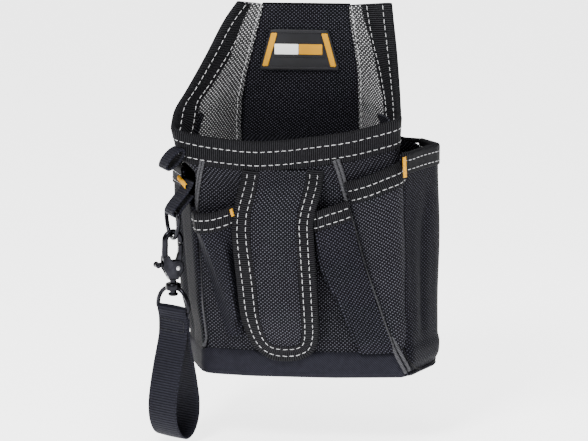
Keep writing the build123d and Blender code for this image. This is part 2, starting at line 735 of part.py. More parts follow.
# ---- yellow bar tacks at the stressed corners ----
tack = (2.6, 13.0, 0.9)
with BuildPart() as bar_tacks:
    left_face = Plane(origin=(chain_x + ex[0] * (chain_off - binding - 0.6) - ey[0] * 2.0,
                              chain_y + ex[1] * (chain_off - binding - 0.6) - ey[1] * 2.0, pocket_rim_z - 7.0),
                      x_dir=ey, z_dir=(-ex[0], -ex[1], 0))
    with BuildSketch(left_face):
        Rectangle(tack[0], tack[1])
    extrude(amount=tack[2])
    right_corner = station_at(pocket_rim_z - 7.0)[1]
    with BuildSketch(Plane(origin=(wide(right_corner[0]) + 1.2, right_corner[1] - 2.6, pocket_rim_z - 7.0),
                           x_dir=(0.8, 0.6, 0), z_dir=(0.6, -0.8, 0))):
        Rectangle(tack[0], tack[1])
    extrude(amount=tack[2])
write(bar_tacks, "bar_tacks")
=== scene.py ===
import math
import bpy
import numpy as np
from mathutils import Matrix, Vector


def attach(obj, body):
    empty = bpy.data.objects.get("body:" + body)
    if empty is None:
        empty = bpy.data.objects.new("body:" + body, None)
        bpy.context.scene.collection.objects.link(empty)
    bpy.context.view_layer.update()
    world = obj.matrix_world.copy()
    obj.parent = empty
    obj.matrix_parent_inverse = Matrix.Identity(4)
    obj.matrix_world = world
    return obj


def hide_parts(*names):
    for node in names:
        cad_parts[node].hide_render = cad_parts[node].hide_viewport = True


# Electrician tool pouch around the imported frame. Sizes of the pouch are millimetres in the frame's axes:
# X to the viewer's right, -Y the front, +Z up. make() turns them into metres. Lights, floor and camera are
# placed in metres.
MM = 0.001
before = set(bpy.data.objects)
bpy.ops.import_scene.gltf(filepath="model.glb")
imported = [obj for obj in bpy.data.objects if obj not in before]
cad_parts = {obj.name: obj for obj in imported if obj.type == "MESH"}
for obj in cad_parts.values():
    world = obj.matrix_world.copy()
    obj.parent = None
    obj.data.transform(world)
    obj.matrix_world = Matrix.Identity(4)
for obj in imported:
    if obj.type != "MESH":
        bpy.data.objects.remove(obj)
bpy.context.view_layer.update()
rng = np.random.default_rng(35)

# ------------------------------------------------------------------ materials


class Nodes:
    """Short way to write procedural node trees."""

    def __init__(self, name, rough, metallic=0.0, specular=0.5):
        self.mat = bpy.data.materials.new(name)
        self.mat.use_nodes = True
        self.tree = self.mat.node_tree
        self.shader = self.tree.nodes["Principled BSDF"]
        for socket, value in (("Roughness", rough), ("Metallic", metallic), ("Specular IOR Level", specular)):
            self.shader.inputs[socket].default_value = value

    def new(self, kind, **values):
        node = self.tree.nodes.new(kind)
        for key, value in values.items():
            setattr(node, key, value)
        return node

    def link(self, a, b):
        self.tree.links.new(a, b)

    def math(self, op, *values):
        node = self.new("ShaderNodeMath", operation=op)
        for socket, value in zip(node.inputs, values):
            if isinstance(value, (int, float)):
                socket.default_value = value
            else:
                self.link(value, socket)
        return node.outputs[0]

    def times(self, a, b):
        return self.math("MULTIPLY", a, b)

    def plus(self, a, b):
        return self.math("ADD", a, b)

    def fit(self, value, gain, base):
        return self.math("MULTIPLY_ADD", value, gain, base)

    def wave(self, value, humps=1.0):
        """So many humps between 0 and 1 in each cell."""
        return self.math("ABSOLUTE", self.math("SINE", self.times(value, humps * math.pi)))

    def uv(self, cell_x, cell_y):
        """The piece's own UVs, which are in metres, as two numbers in cells of so many millimetres."""
        split = self.new("ShaderNodeSeparateXYZ")
        self.link(self.new("ShaderNodeUVMap", uv_map="cloth").outputs[0], split.inputs[0])
        return self.times(split.outputs[0], 1000.0 / cell_x), self.times(split.outputs[1], 1000.0 / cell_y)

    def noise(self, scale, detail=2.0, rough=0.5):
        node = self.new("ShaderNodeTexNoise")
        for socket, value in (("Scale", scale), ("Detail", detail), ("Roughness", rough)):
            node.inputs[socket].default_value = value
        self.link(self.new("ShaderNodeTexCoord").outputs["Object"], node.inputs["Vector"])
        return node.outputs["Fac"]

    def ramp(self, value, *stops):
        node = self.new("ShaderNodeValToRGB")
        for element, (place, colour) in zip(node.color_ramp.elements, stops):
            element.position = place
            element.color = (*colour, 1.0)
        self.link(value, node.inputs[0])
        return node.outputs[0]

    def mix(self, factor, a, b):
        node = self.new("ShaderNodeMix", data_type="RGBA")
        self.link(factor, node.inputs["Factor"])
        node.inputs[6].default_value = (*a, 1.0)
        node.inputs[7].default_value = (*b, 1.0)
        return node.outputs[2]

    def finish(self, colour, height=None, depth=0.0, rough=None):
        """Colour, bump of a height so many metres deep, and roughness."""
        self.link(colour, self.shader.inputs["Base Color"])
        if height is not None:
            bump = self.new("ShaderNodeBump")
            bump.inputs["Strength"].default_value = 1.0
            bump.inputs["Distance"].default_value = depth
            self.link(height, bump.inputs["Height"])
            self.link(bump.outputs[0], self.shader.inputs["Normal"])
        if rough is not None:
            self.link(rough, self.shader.inputs["Roughness"])
        return self.mat


def ballistic(name, dark, light, cell_x=1.30, cell_y=1.48, rough=0.5, fleck=0.6, sheen_peak=2.4):
    """Coarse basket weave: floats lie across in one set of cells and along in the other; the float crowns are painted
    lighter, partly the weave's own tone and partly a painted sheen highlight of the glossy threads.
    """
    n = Nodes(name, rough, specular=0.03)
    u, v = n.uv(cell_x, cell_y)
    wander = n.times(n.math("SUBTRACT", n.noise(260.0, 1.0), 0.5), 0.5)
    u, v = n.plus(u, wander), n.plus(v, wander)
    odd = n.math("ABSOLUTE", n.math("MODULO", n.plus(n.math("FLOOR", u), n.math("FLOOR", v)), 2.0))
    pillow = n.times(n.math("POWER", n.wave(u), 0.6), n.math("POWER", n.wave(v), 0.6))
    strands = n.plus(n.times(n.wave(v, 3), n.math("SUBTRACT", 1.0, odd)), n.times(n.wave(u, 3), odd))
    height = n.plus(n.times(pillow, n.fit(odd, 0.7, 0.3)), n.times(strands, 0.16))
    # Painted highlight: the crown of each float is lifted toward the light colour as the glossy threads' sheen, on top
    # of the weave's own tone; the specular level stays low.
    tuft_sheen = n.times(n.math("POWER", pillow, sheen_peak), n.fit(odd, 0.88, 0.12))
    tone_and_sheen = n.times(tuft_sheen, n.fit(n.noise(420.0, 2.0, 0.7), fleck * 2, 1.0 - fleck))
    tone_and_sheen = n.times(tone_and_sheen, n.fit(n.noise(23.0, 3.0), 0.6, 0.7))
    return n.finish(n.mix(tone_and_sheen, dark, light), height, 0.00045)


def ribbed(name, dark, light, pitch=1.35, rough=0.55, depth=0.0003, across=0.62, sharp=0.7):
    """Narrow woven tape: ribs across its length, a faint plain weave inside them; the rib crowns are painted lighter,
    partly the tape's own tone and partly a painted sheen highlight.
    """
    n = Nodes(name, rough, specular=0.03)
    u, v = n.uv(pitch, across)
    rib = n.math("POWER", n.wave(u), sharp)
    fine = n.wave(n.plus(v, n.times(u, 0.5)))
    height = n.plus(n.times(rib, 0.8), n.times(fine, 0.25))
    spots = n.fit(n.noise(500.0, 2.0, 0.6), 0.9, 0.5)
    worn = n.fit(n.noise(31.0, 3.0), 0.7, 0.65)
    # Painted highlight: the raised ribs are painted toward the light colour as sheen, along with the tape's own
    # speckled tone.
    tone_and_sheen = n.times(n.times(n.times(rib, n.fit(fine, 0.5, 0.5)), spots), worn)
    return n.finish(n.mix(tone_and_sheen, dark, light), height, depth)


def twill(name, dark, light, pitch=1.7, rough=0.6):
    n = Nodes(name, rough, specular=0.03)
    u, v = n.uv(pitch, pitch)
    line, cross = n.wave(n.plus(u, v)), n.wave(n.math("SUBTRACT", u, v), 2.1)
    # Painted highlight: the twill lines are painted toward the light colour as sheen, along with the cloth's own tone.
    tone_and_sheen = n.times(n.times(line, 0.9), n.fit(n.noise(300.0, 2.0), 0.8, 0.5))
    return n.finish(n.mix(tone_and_sheen, dark, light), n.plus(line, n.times(cross, 0.3)), 0.00018)


def thread(name, dark, light, rough=0.6):
    n = Nodes(name, rough, specular=0.2)
    grain = n.noise(1500.0, 2.0, 0.7)
    return n.finish(n.ramp(grain, (0.35, dark), (0.65, light)), grain, 0.0001)


def moulded(name, dark, light, rough):
    n = Nodes(name, rough, specular=0.2)
    grain = n.noise(900.0, 3.0, 0.6)
    return n.finish(n.ramp(n.noise(40.0, 2.0), (0.3, dark), (0.7, light)), grain, 0.00005,
                    n.fit(grain, 0.25, rough - 0.1))


def metal(name, dark, light, rough):
    n = Nodes(name, rough, metallic=1.0)
    wear = n.noise(160.0, 4.0, 0.6)
    return n.finish(n.ramp(wear, (0.3, dark), (0.75, light)), n.noise(1800.0, 2.0, 0.6), 0.00002,
                    n.fit(wear, 0.25, rough - 0.08))


# In the woven cloths the light colour goes on the raised threads: partly their own tone, partly a painted sheen
# highlight.
M = {
    "nylon": ballistic("nylon_ballistic", (0.0003, 0.0003, 0.0006), (0.078, 0.078, 0.095)),
    "nylon_dark": ballistic("nylon_ballistic_dark", (0.0004, 0.0004, 0.0008), (0.055, 0.055, 0.072)),
    "inside": ballistic("nylon_inside", (0.0003, 0.0003, 0.0006), (0.06, 0.06, 0.075), rough=0.6),
    # Darker copy of the ballistic nylon for the side pockets: painted shade of the side faces, which turn away from the
    # lamps.
    "side": ballistic("nylon_ballistic_side_shade", (0.0003, 0.0003, 0.0006), (0.036, 0.036, 0.048), rough=0.6),
    "grey": ballistic("nylon_grey", (0.0008, 0.0008, 0.0012), (0.78, 0.78, 0.80), cell_x=1.4, cell_y=1.55,
                      fleck=0.8, sheen_peak=3.6),
    "tape": ribbed("tape_binding", (0.0003, 0.0003, 0.0005), (0.021, 0.021, 0.0235), pitch=1.5, across=1.0,
                   sharp=2.6),
    "webbing": ribbed("webbing_strap", (0.0008, 0.0008, 0.0012), (0.017, 0.017, 0.024), pitch=1.9, across=1.1,
                      depth=0.0004),
    "twill": twill("twill_base", (0.0007, 0.0007, 0.0012), (0.021, 0.021, 0.029)),
    "cord": ribbed("piping_cord", (0.0010, 0.0010, 0.0014), (0.085, 0.085, 0.092), pitch=1.1, across=0.8),
    "white": thread("thread_white", (0.34, 0.34, 0.35), (0.60, 0.60, 0.61)),
    "yellow": thread("thread_yellow", (0.42, 0.19, 0.0), (0.62, 0.30, 0.002)),
    "black_thread": thread("thread_black", (0.004, 0.004, 0.005), (0.02, 0.02, 0.022)),
    "badge": moulded("badge_rubber", (0.002, 0.002, 0.003), (0.008, 0.008, 0.011), 0.4),
    "badge_yellow": moulded("badge_yellow", (0.42, 0.195, 0.0), (0.52, 0.245, 0.0), 0.42),
    "badge_white": moulded("badge_white", (0.74, 0.74, 0.72), (0.84, 0.84, 0.82), 0.42),
    "nickel": metal("black_nickel", (0.006, 0.006, 0.007), (0.020, 0.020, 0.024), 0.17),
    "steel": metal("spring_wire", (0.32, 0.32, 0.33), (0.55, 0.55, 0.56), 0.3),
}

# ------------------------------------------------------------------ mesh tools


def unit(vectors):
    return vectors / np.maximum(np.linalg.norm(vectors, axis=-1, keepdims=True), 1e-9)


def walked(line):
    """Distance of each point along its line."""
    return np.concatenate([[0], np.cumsum(np.linalg.norm(np.diff(line, axis=0), axis=1))])


def make(name, points, faces, material, body, cad=(), uv=None, sharp=38.0):
    """A mesh piece from millimetre points, riding on a body and standing for its CAD nodes."""
    data = bpy.data.meshes.new(name)
    data.from_pydata([tuple(p) for p in np.asarray(points, float) * MM], [], [tuple(f) for f in faces])
    if uv is not None:
        layer = data.uv_layers.new(name="cloth")
        loops = np.zeros(len(data.loops), int)
        data.loops.foreach_get("vertex_index", loops)
        layer.data.foreach_set("uv", (np.asarray(uv, float)[loops] * MM).astype(np.float32).ravel())
    data.validate(clean_customdata=False)
    data.update()
    data.shade_smooth()
    data.set_sharp_from_angle(angle=math.radians(sharp))
    piece = bpy.data.objects.new(name, data)
    bpy.context.scene.collection.objects.link(piece)
    data.materials.append(material)
    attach(piece, body)
    if cad:
        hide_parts(*cad)
    return piece


def normals_of(grid):
    """Unit normals of a surface grid (rows along the first axis)."""
    return unit(np.cross(np.gradient(grid, axis=0), np.gradient(grid, axis=1)))


def arc_uv(grid):
    """Distances along both directions of a grid, as cloth coordinates in millimetres."""
    along = np.linalg.norm(np.diff(grid, axis=0), axis=2).mean(axis=1)
    across = np.linalg.norm(np.diff(grid, axis=1), axis=2)
    u = np.concatenate([[0], np.cumsum(along)])
    v = np.concatenate([np.zeros((grid.shape[0], 1)), np.cumsum(across, axis=1)], axis=1)
    v = v - v[:, grid.shape[1] // 2][:, None]
    return np.stack([np.repeat(u[:, None], grid.shape[1], 1), v], axis=2)


# Cloth panels as they are cut: width and length in millimetres, and the cut's area in square millimetres.
CUTS = {
    "front_panel_cloth": (170, 184, 25500), "gusset_left_cloth": (79, 186, 13650),
    "gusset_right_cloth": (81, 180, 13850), "back_panel_cloth": (171, 256, 35100),
    "back_lining_cloth": (171, 256, 35100), "wing_left_cloth": (71, 80, 3060), "wing_right_cloth": (65, 80, 3030),
    "wing_facing_left_cloth": (61, 149, 5190), "wing_facing_right_cloth": (62, 138, 4960),
    "side_pocket_right_cloth": (88, 160, 13750), "side_pocket_left_cloth": (84, 150, 11550),
    "tongue_panel_cloth": (55, 146, 7220), "front_pocket_left_cloth": (45, 97, 2950),
    "front_pocket_right_cloth": (40, 115, 3790), "wrap_pocket_right_cloth": (53, 140, 4290),
    "base_panel_cloth": (184, 84, 13000),
}


EDGE_FROM, EDGE_SWELL = 0.6, 0.42


def shell(name, grid, thick, material, body, cad=(), flip=False, uv=None, sharp=50.0):
    """Closed shell around a surface grid: thick millimetres, equal on both faces, with rounded rims."""
    grid = np.asarray(grid, float)
    n = normals_of(grid) * (-1 if flip else 1)
    nu, nv = grid.shape[:2]
    uv = (arc_uv(grid) if uv is None else uv).reshape(-1, 2)
    count = nu * nv
    points = np.concatenate([(grid + n * (thick / 2)).reshape(-1, 3), (grid - n * (thick / 2)).reshape(-1, 3)])
    coords = np.concatenate([uv, uv])
    i, j = np.meshgrid(np.arange(nu - 1), np.arange(nv - 1), indexing="ij")
    a = (i * nv + j).ravel()
    quad = np.stack([a, a + nv, a + nv + 1, a + 1], axis=1)
    if flip:
        quad = quad[:, ::-1]
    faces = [tuple(q) for q in quad] + [tuple(q + count) for q in quad[:, ::-1]]
    rim = [(k, 0) for k in range(nu)] + [(nu - 1, k) for k in range(1, nv)]
    rim += [(k, nv - 1) for k in range(nu - 2, -1, -1)] + [(0, k) for k in range(nv - 2, 0, -1)]
    ids = [p * nv + q for p, q in rim]
    rings = [ids, [k + count for k in ids]]
    if thick > EDGE_FROM:
        middle = []
        for p, q in rim:
            step = grid[p, q] - grid[min(max(p, 1), nu - 2), min(max(q, 1), nv - 2)]
            step = step - n[p, q] * np.dot(step, n[p, q])
            length = np.linalg.norm(step)
            outward = step / length if length > 1e-9 else step * 0
            middle.append(grid[p, q] + outward * thick * EDGE_SWELL)
        rings.insert(1, [len(points) + k for k in range(len(ids))])
        points = np.concatenate([points, middle])
        coords = np.concatenate([coords, uv[ids]])
    for upper, lower in zip(rings, rings[1:]):
        for k in range(len(ids)):
            m = (k + 1) % len(ids)
            face = (upper[k], lower[k], lower[m], upper[m])
            faces.append(face if flip else face[::-1])
    piece = make(name, points, faces, material, body, cad, coords, sharp=sharp)
    if name in CUTS:
        width, length, area = CUTS[name]


def panel(node, grid, thick, look, flip=True):
    """Cloth panel of the pouch, named after its CAD node."""
    shell(f"{node}_cloth", grid, thick, M[look], "pouch", [node], flip=flip)


def lerp(a, b, t):
    return a + (b - a) * t


def smooth_step(x, low, high):
    t = np.clip((x - low) / (high - low), 0, 1)
    return t * t * (3 - 2 * t)


def curve(table, z):
    """Smooth value from a table of (height, value) with monotone cubic steps."""
    table = sorted(table)
    zs = np.array([row[0] for row in table], float)
    vs = np.array([row[1] for row in table], float)
    z = np.clip(np.asarray(z, float), zs[0], zs[-1])
    slopes = np.diff(vs, axis=0) / np.diff(zs).reshape(-1, *([1] * (vs.ndim - 1)))
    tangent = np.zeros_like(vs)
    tangent[0], tangent[-1] = slopes[0], slopes[-1]
    for k in range(1, len(zs) - 1):
        same = slopes[k - 1] * slopes[k] > 0
        tangent[k] = np.where(same, 2 * slopes[k - 1] * slopes[k] / np.where(same, slopes[k - 1] + slopes[k], 1), 0)
    k = np.clip(np.searchsorted(zs, z) - 1, 0, len(zs) - 2)
    h = zs[k + 1] - zs[k]
    t = (z - zs[k]) / h
    if vs.ndim > 1:
        h, t = h[..., None], t[..., None]
    return ((2 * t**3 - 3 * t**2 + 1) * vs[k] + (t**3 - 2 * t**2 + t) * h * tangent[k]
            + (-2 * t**3 + 3 * t**2) * vs[k + 1] + (t**3 - t**2) * h * tangent[k + 1])


def smooth_line(points, count):
    """Catmull-Rom line through points, resampled to count points evenly spaced along it."""
    p = np.asarray(points, float)
    p = np.concatenate([2 * p[:1] - p[1:2], p, 2 * p[-1:] - p[-2:-1]])
    dense = []
    for k in range(1, len(p) - 2):
        t = np.linspace(0, 1, 24, endpoint=False)[:, None]
        a, b, c, d = p[k - 1], p[k], p[k + 1], p[k + 2]
        dense.append(0.5 * (2 * b + (c - a) * t + (2 * a - 5 * b + 4 * c - d) * t**2 + (3 * b - a - 3 * c + d) * t**3))
    dense.append(p[-2:-1])
    return resample(np.concatenate(dense), count)


def resample(line, count):
    dist = walked(line)
    want = np.linspace(0, dist[-1], count)
    return np.stack([np.interp(want, dist, line[:, k]) for k in range(line.shape[1])], axis=1)


def corner(a, b, c, radius):
    """Where a rounding of corner b starts and ends."""
    u, v = unit(a - b), unit(c - b)
    half = math.acos(max(-1.0, min(1.0, float(np.dot(u, v))))) / 2
    reach = min(radius / math.tan(half), 0.45 * np.linalg.norm(a - b), 0.45 * np.linalg.norm(c - b))
    return b + u * reach, b + v * reach


def turned(start, b, end, places):
    return [(1 - t)**2 * start + 2 * t * (1 - t) * b + t**2 * end for t in places]


def rounded_path(points, radii, per_leg, per_turn):
    """Open plan path with its corners rounded; the same number of points for the same inputs."""
    p = [np.array(q, float) for q in points]
    out = []
    cursor = p[0]
    for a, b, c, radius in zip(p, p[1:], p[2:], radii):
        start, end = corner(a, b, c, radius)
        out += [lerp(cursor, start, t) for t in np.linspace(0, 1, per_leg, endpoint=False)]
        out += turned(start, b, end, np.linspace(0, 1, per_turn, endpoint=False))
        cursor = end
    return np.array(out + [lerp(cursor, p[-1], t) for t in np.linspace(0, 1, per_leg)])


def soft_outline(corners, radius, turn=6):
    """Closed counter-clockwise outline with rounded corners."""
    corners = [np.array(c, float) for c in corners]
    out = []
    for k, b in enumerate(corners):
        start, end = corner(corners[k - 1], b, corners[(k + 1) % len(corners)], radius)
        out += turned(start, b, end, np.linspace(0, 1, turn))
    return np.array(out)


def lump(rings, uvs, flip=False, capped=True):
    """Solid skinned over rings with equal numbers of points; flip turns its faces round."""
    count, last = len(rings[0]), (len(rings) - 1) * len(rings[0])
    sides = []
    for r in range(len(rings) - 1):
        for k in range(count):
            m = (k + 1) % count
            sides.append((r * count + k, r * count + m, (r + 1) * count + m, (r + 1) * count + k))
    caps = [tuple(range(last, last + count)), tuple(range(count))[::-1]] if capped else []
    if flip:
        sides, caps = [(f[0], *f[:0:-1]) for f in sides], [f[::-1] for f in caps]
    return np.concatenate(rings), sides + caps, np.concatenate(uvs)


def inward_of(line):
    """Unit directions into a closed counter-clockwise outline."""
    step = unit(np.roll(line, -1, 0) - np.roll(line, 1, 0))
    return np.stack([-step[:, 1], step[:, 0]], axis=1)


def left_of(path):
    """Unit directions to the left of an open path."""
    step = unit(np.gradient(path, axis=0))
    return np.stack([-step[:, 1], step[:, 0]], axis=1)


# ------------------------------------------------------------------ stitches

stitch_store = {}


THREAD_SHARE, THREAD_RADIUS, THREAD_LIFT, THREAD_SIDES = 0.72, 0.24, 0.16, 6
# Place along a stitch, rise in radii and share of the full girth.
THREAD_SHAPE = ((0.0, -0.9, 0.5), (0.12, 0.1, 0.9), (0.35, 0.55, 1.0), (0.65, 0.55, 1.0), (0.88, 0.1, 0.9),
                (1.0, -0.9, 0.5))


def stitches(key, line, normal, pitch=5.0, body="pouch"):
    """Lockstitch dashes along a line: short rounded threads that dip in at both ends."""
    line = np.asarray(line, float)
    normal = np.asarray(normal, float)
    if normal.ndim == 1:
        normal = np.repeat(normal[None], len(line), 0)
    dist = walked(line)
    total = dist[-1]
    count = max(1, int(round(total / pitch)))
    real = total / count

    def at(d, table):
        return np.array([np.interp(d, dist, table[:, k]) for k in range(3)])

    points, faces = stitch_store.setdefault((key, body), ([], []))
    sides = THREAD_SIDES
    for k in range(count):
        begin = (k + 0.5 * (1 - THREAD_SHARE)) * real + rng.uniform(-0.15, 0.15)
        span = real * THREAD_SHARE * rng.uniform(0.94, 1.04)
        tilt = rng.uniform(-0.12, 0.12)
        base = len(points)
        for f, up, fat in THREAD_SHAPE:
            d = begin + f * span
            n = unit(at(d, normal))
            ahead = unit(at(min(d + 0.5, total), line) - at(max(d - 0.5, 0), line))
            side = np.cross(ahead, n)
            centre = at(d, line) + n * (THREAD_LIFT + THREAD_RADIUS * up) + side * tilt * (f - 0.5) * 2
            for a in range(sides):
                ang = 2 * math.pi * a / sides
                points.append(centre + (side * math.cos(ang) + n * math.sin(ang)) * THREAD_RADIUS * fat)
        for r in range(len(THREAD_SHAPE) - 1):
            for a in range(sides):
                b = (a + 1) % sides
                faces.append((base + r * sides + a, base + r * sides + b,
                              base + (r + 1) * sides + b, base + (r + 1) * sides + a))
        faces.append(tuple(base + a for a in range(sides))[::-1])
        faces.append(tuple(base + (len(THREAD_SHAPE) - 1) * sides + a for a in range(sides)))

# ------------------------------------------------------------------ plan of the pouch

REAR, FACE = -3.0, -8.5
MOUTH, RIM, WAIST, BAND, BOTTOM = -12.0, -42.0, -140.0, -176.0, -194.0
TOP = 60.0


class Wall:
    """Soft wall that follows a plan path at every height; s is the distance round it from X = 0."""

    def __init__(self, stations, turns, wander, seed, spread=170.0, step=1.5):
        self.heights = np.linspace(BOTTOM - 1, 12.0, 104)
        self.spots = np.arange(-spread, spread + step, step)
        keys = [z for z, _ in stations]
        corners = [(z, np.array(path, float)) for z, path in stations]
        noise = np.random.default_rng(seed)
        waves = [noise.uniform((0.012, 0.008, 0, 0.3), (0.05, 0.035, 6.28, 1.0)) for _ in range(7)]
        places, self.start, self.end = [], [], []
        for z in self.heights:
            pts = np.array([[float(curve([(k, c[m][axis]) for k, c in corners], z)) for axis in (0, 1)]
                            for m in range(len(corners[0][1]))])
            bend = [float(curve([(k, t) for k, t in zip(keys, row)], z)) for row in turns]
            line = rounded_path(pts, bend, per_leg=20, per_turn=14)
            d = np.concatenate([[0], np.cumsum(np.linalg.norm(np.diff(line, axis=0), axis=1))])
            front = (line[:, 1] < -60)
            cross = np.interp(0.0, line[front][:, 0], d[front])
            d = d - cross
            self.start.append(d[0])
            self.end.append(d[-1])
            xy = np.stack([np.interp(self.spots, d, line[:, k]) for k in (0, 1)], axis=1)
            places.append(xy)
        xy = np.array(places)
        tangent = np.gradient(xy, axis=1)
        tangent = tangent / np.maximum(np.linalg.norm(tangent, axis=2, keepdims=True), 1e-6)
        for _ in range(3):
            tangent[:, 1:-1] = (tangent[:, :-2] + tangent[:, 1:-1] * 2 + tangent[:, 2:]) / 4
        self.normal = np.stack([tangent[..., 1], -tangent[..., 0]], axis=2)
        zz, ss = np.meshgrid(self.heights, self.spots, indexing="ij")
        push = sum(w[3] * np.sin(w[0] * 2.2 * ss + w[1] * 2.2 * zz + w[2]) for w in waves) / 3.0
        self.xy = xy + self.normal * (push * wander)[..., None]

    def at(self, s, z, h=0.0):
        """Points at distances s and heights z, standing h out of the wall."""
        s, z, h = np.broadcast_arrays(np.asarray(s, float), np.asarray(z, float), np.asarray(h, float))
        i = (np.clip(z, self.heights[0], self.heights[-1]) - self.heights[0]) / (self.heights[1] - self.heights[0])
        j = (np.clip(s, self.spots[0], self.spots[-1]) - self.spots[0]) / (self.spots[1] - self.spots[0])
        i0 = np.minimum(i.astype(int), len(self.heights) - 2)
        j0 = np.minimum(j.astype(int), len(self.spots) - 2)
        fi, fj = (i - i0)[..., None], (j - j0)[..., None]
        out = []
        for table in (self.xy, self.normal):
            out.append((1 - fi) * (1 - fj) * table[i0, j0] + fi * (1 - fj) * table[i0 + 1, j0]
                       + (1 - fi) * fj * table[i0, j0 + 1] + fi * fj * table[i0 + 1, j0 + 1])
        flat = out[0] + out[1] * h[..., None]
        return np.concatenate([flat, z[..., None]], axis=-1)

    def ends(self, z):
        return (np.interp(z, self.heights, self.start), np.interp(z, self.heights, self.end))


# Main compartment: left root, front left corner, the front, front right corner, right root.
main = Wall([
    (BOTTOM - 1, [(-46, FACE), (-65, -86.5), (-30, -92), (30, -92), (84, -86.5), (46, FACE)]),
    (BAND, [(-46, FACE), (-65, -86.5), (-30, -92), (30, -92), (84, -86.5), (46, FACE)]),
    (WAIST, [(-46, FACE), (-69, -87), (-30, -92.5), (30, -92.5), (80, -87), (46, FACE)]),
    (RIM - 8, [(-47, FACE), (-73, -86), (-30, -92), (30, -92), (78, -86), (46, FACE)]),
    (RIM + 6, [(-47.5, FACE), (-89, -79), (-30, -92), (30, -92), (78.6, -82), (44, FACE)]),
    (MOUTH, [(-47.5, FACE), (-96, -74), (-30, -92.5), (30, -92.5), (79.6, -79), (43.5, FACE)]),
    (12.0, [(-46, FACE), (-104, -66), (-30, -93), (30, -93), (83.5, -74), (42.5, FACE)]),
], [[9, 9, 9, 9, 11, 12, 14], [60] * 7, [60] * 7, [9, 9, 9, 9, 12, 14, 16]], 0.7, 4)

# Body with its side pockets: back left, widest left, corner, front, corner, widest right, back right.
outer = Wall([
    (BOTTOM - 1, [(-76, FACE), (-80, -44), (-65, -86.5), (-30, -92), (30, -92), (84, -86.5), (101, -48), (86, FACE)]),
    (BAND, [(-76, FACE), (-80, -44), (-65, -86.5), (-30, -92), (30, -92), (84, -86.5), (103, -47), (86, FACE)]),
    (WAIST, [(-82, FACE), (-87, -46), (-69, -87), (-30, -92.5), (30, -92.5), (80, -87), (104, -46), (87, FACE)]),
    (RIM - 8, [(-84, FACE), (-91, -52), (-73, -86), (-30, -92), (30, -92), (78, -86), (103, -45), (87, FACE)]),
    (12.0, [(-84, FACE), (-91, -52), (-73, -86), (-30, -92), (30, -92), (78, -86), (103, -45), (87, FACE)]),
], [[22] * 5, [9, 9, 9, 9, 9], [60] * 5, [60] * 5, [9, 9, 9, 9, 9], [20] * 5], 0.7, 4)

rim_table = [(-112, -13.0), (-100, -17.0), (-88, -21.0), (-60, -25.3), (-28, -26.4), (-8, -25.3), (20, -21.5),
             (45, -17.8), (62, -14.0), (78, -10.6), (92, -8.5), (104, -7.5)]
front_left_s = [(BOTTOM, -65.0), (WAIST, -69.0), (RIM - 8, -73.0), (RIM + 6, -86.0), (MOUTH, -92.0), (12, -98.0)]
front_right_s = [(BOTTOM, 84.0), (WAIST, 80.0), (RIM - 8, 78.0), (RIM + 6, 77.5), (MOUTH, 78.5), (12, 82.0)]


def rim_z(s):
    return curve(rim_table, s)


def wall_patch(wall, s_low, s_high, z_low, z_high, rows, columns, h=0.0):
    """Grid between two s curves; z_high may be a function of s."""
    out = []
    f = np.linspace(0, 1, columns)
    for t in np.linspace(0, 1, rows):
        z_guess = lerp(z_low, -15.0, t)
        s = lerp(float(s_low(z_guess)), float(s_high(z_guess)), f)
        top = z_high(s) if callable(z_high) else np.full(columns, z_high)
        z = z_low + (top - z_low) * t
        out.append(wall.at(s, z, h(s, z) if callable(h) else h))
    return np.array(out)


# ---- main walls ----
front_cloth = wall_patch(main, lambda z: curve(front_left_s, z), lambda z: curve(front_right_s, z), BOTTOM + 2,
                         rim_z, 90, 96, -1.0)
panel("front_panel", front_cloth, 2.0, "nylon")
panel("gusset_left", wall_patch(main, lambda z: main.ends(z)[0], lambda z: curve(front_left_s, z), BOTTOM + 2,
                                lambda s: MOUTH - 1.0 - 7.0 * smooth_step(s, -122, -106), 80, 44, -1.0), 2.0, "inside")
panel("gusset_right", wall_patch(main, lambda z: curve(front_right_s, z), lambda z: main.ends(z)[1], BOTTOM + 2,
                                 lambda s: MOUTH - 1.0 - 7.0 * smooth_step(-s, -106, -90), 80, 44, -1.0), 2.0,
      "inside")

# ---- back: board between two skins, seen inside above the mouth and from the wearer's side ----
back_left_x = [(BOTTOM, -75.0), (BAND, -76.0), (WAIST, -82.0), (RIM - 4, -84.0), (RIM + 3, -80.0), (MOUTH - 8, -58.0),
               (MOUTH + 4, -49.0), (20, -39.5), (TOP + 2, -29.5)]
back_right_x = [(BOTTOM, 83.0), (BAND, 84.0), (WAIST, 86.0), (RIM - 5, 87.0), (RIM + 1, 86.0), (RIM + 3, 81.0),
                (RIM + 5, 68.0), (MOUTH - 8, 52.0), (MOUTH + 4, 45.0), (20, 39.5), (TOP + 2, 33.5)]


def back_rows(y, trim, bow, rows=70, columns=45):
    """Back panel's outline as a grid; bow leans its middle forwards a little."""
    z_low, z_high = BOTTOM + trim, TOP + 1.5 - trim
    grid = []
    for z in np.linspace(z_low, z_high, rows):
        a, b = float(curve(back_left_x, z)) + trim, float(curve(back_right_x, z)) - trim
        x = np.linspace(a, b, columns)
        s = np.linspace(-1, 1, columns)
        yy = y + bow * (1 - s**2) * math.sin(math.pi * (z - z_low) / (z_high - z_low))
        grid.append(np.stack([x, yy, np.full(columns, z)], axis=1))
    return np.array(grid)


panel("back_panel", back_rows(REAR - 0.75, 0.0, 0.0), 1.5, "nylon_dark")
panel("back_lining", back_rows(FACE + 0.75, 0.0, -0.9), 1.5, "inside", flip=False)
shell("back_board_sheet", back_rows((REAR + FACE) / 2, 7.0, 0.0), 2.5, M["badge"], "pouch", ["back_board"])

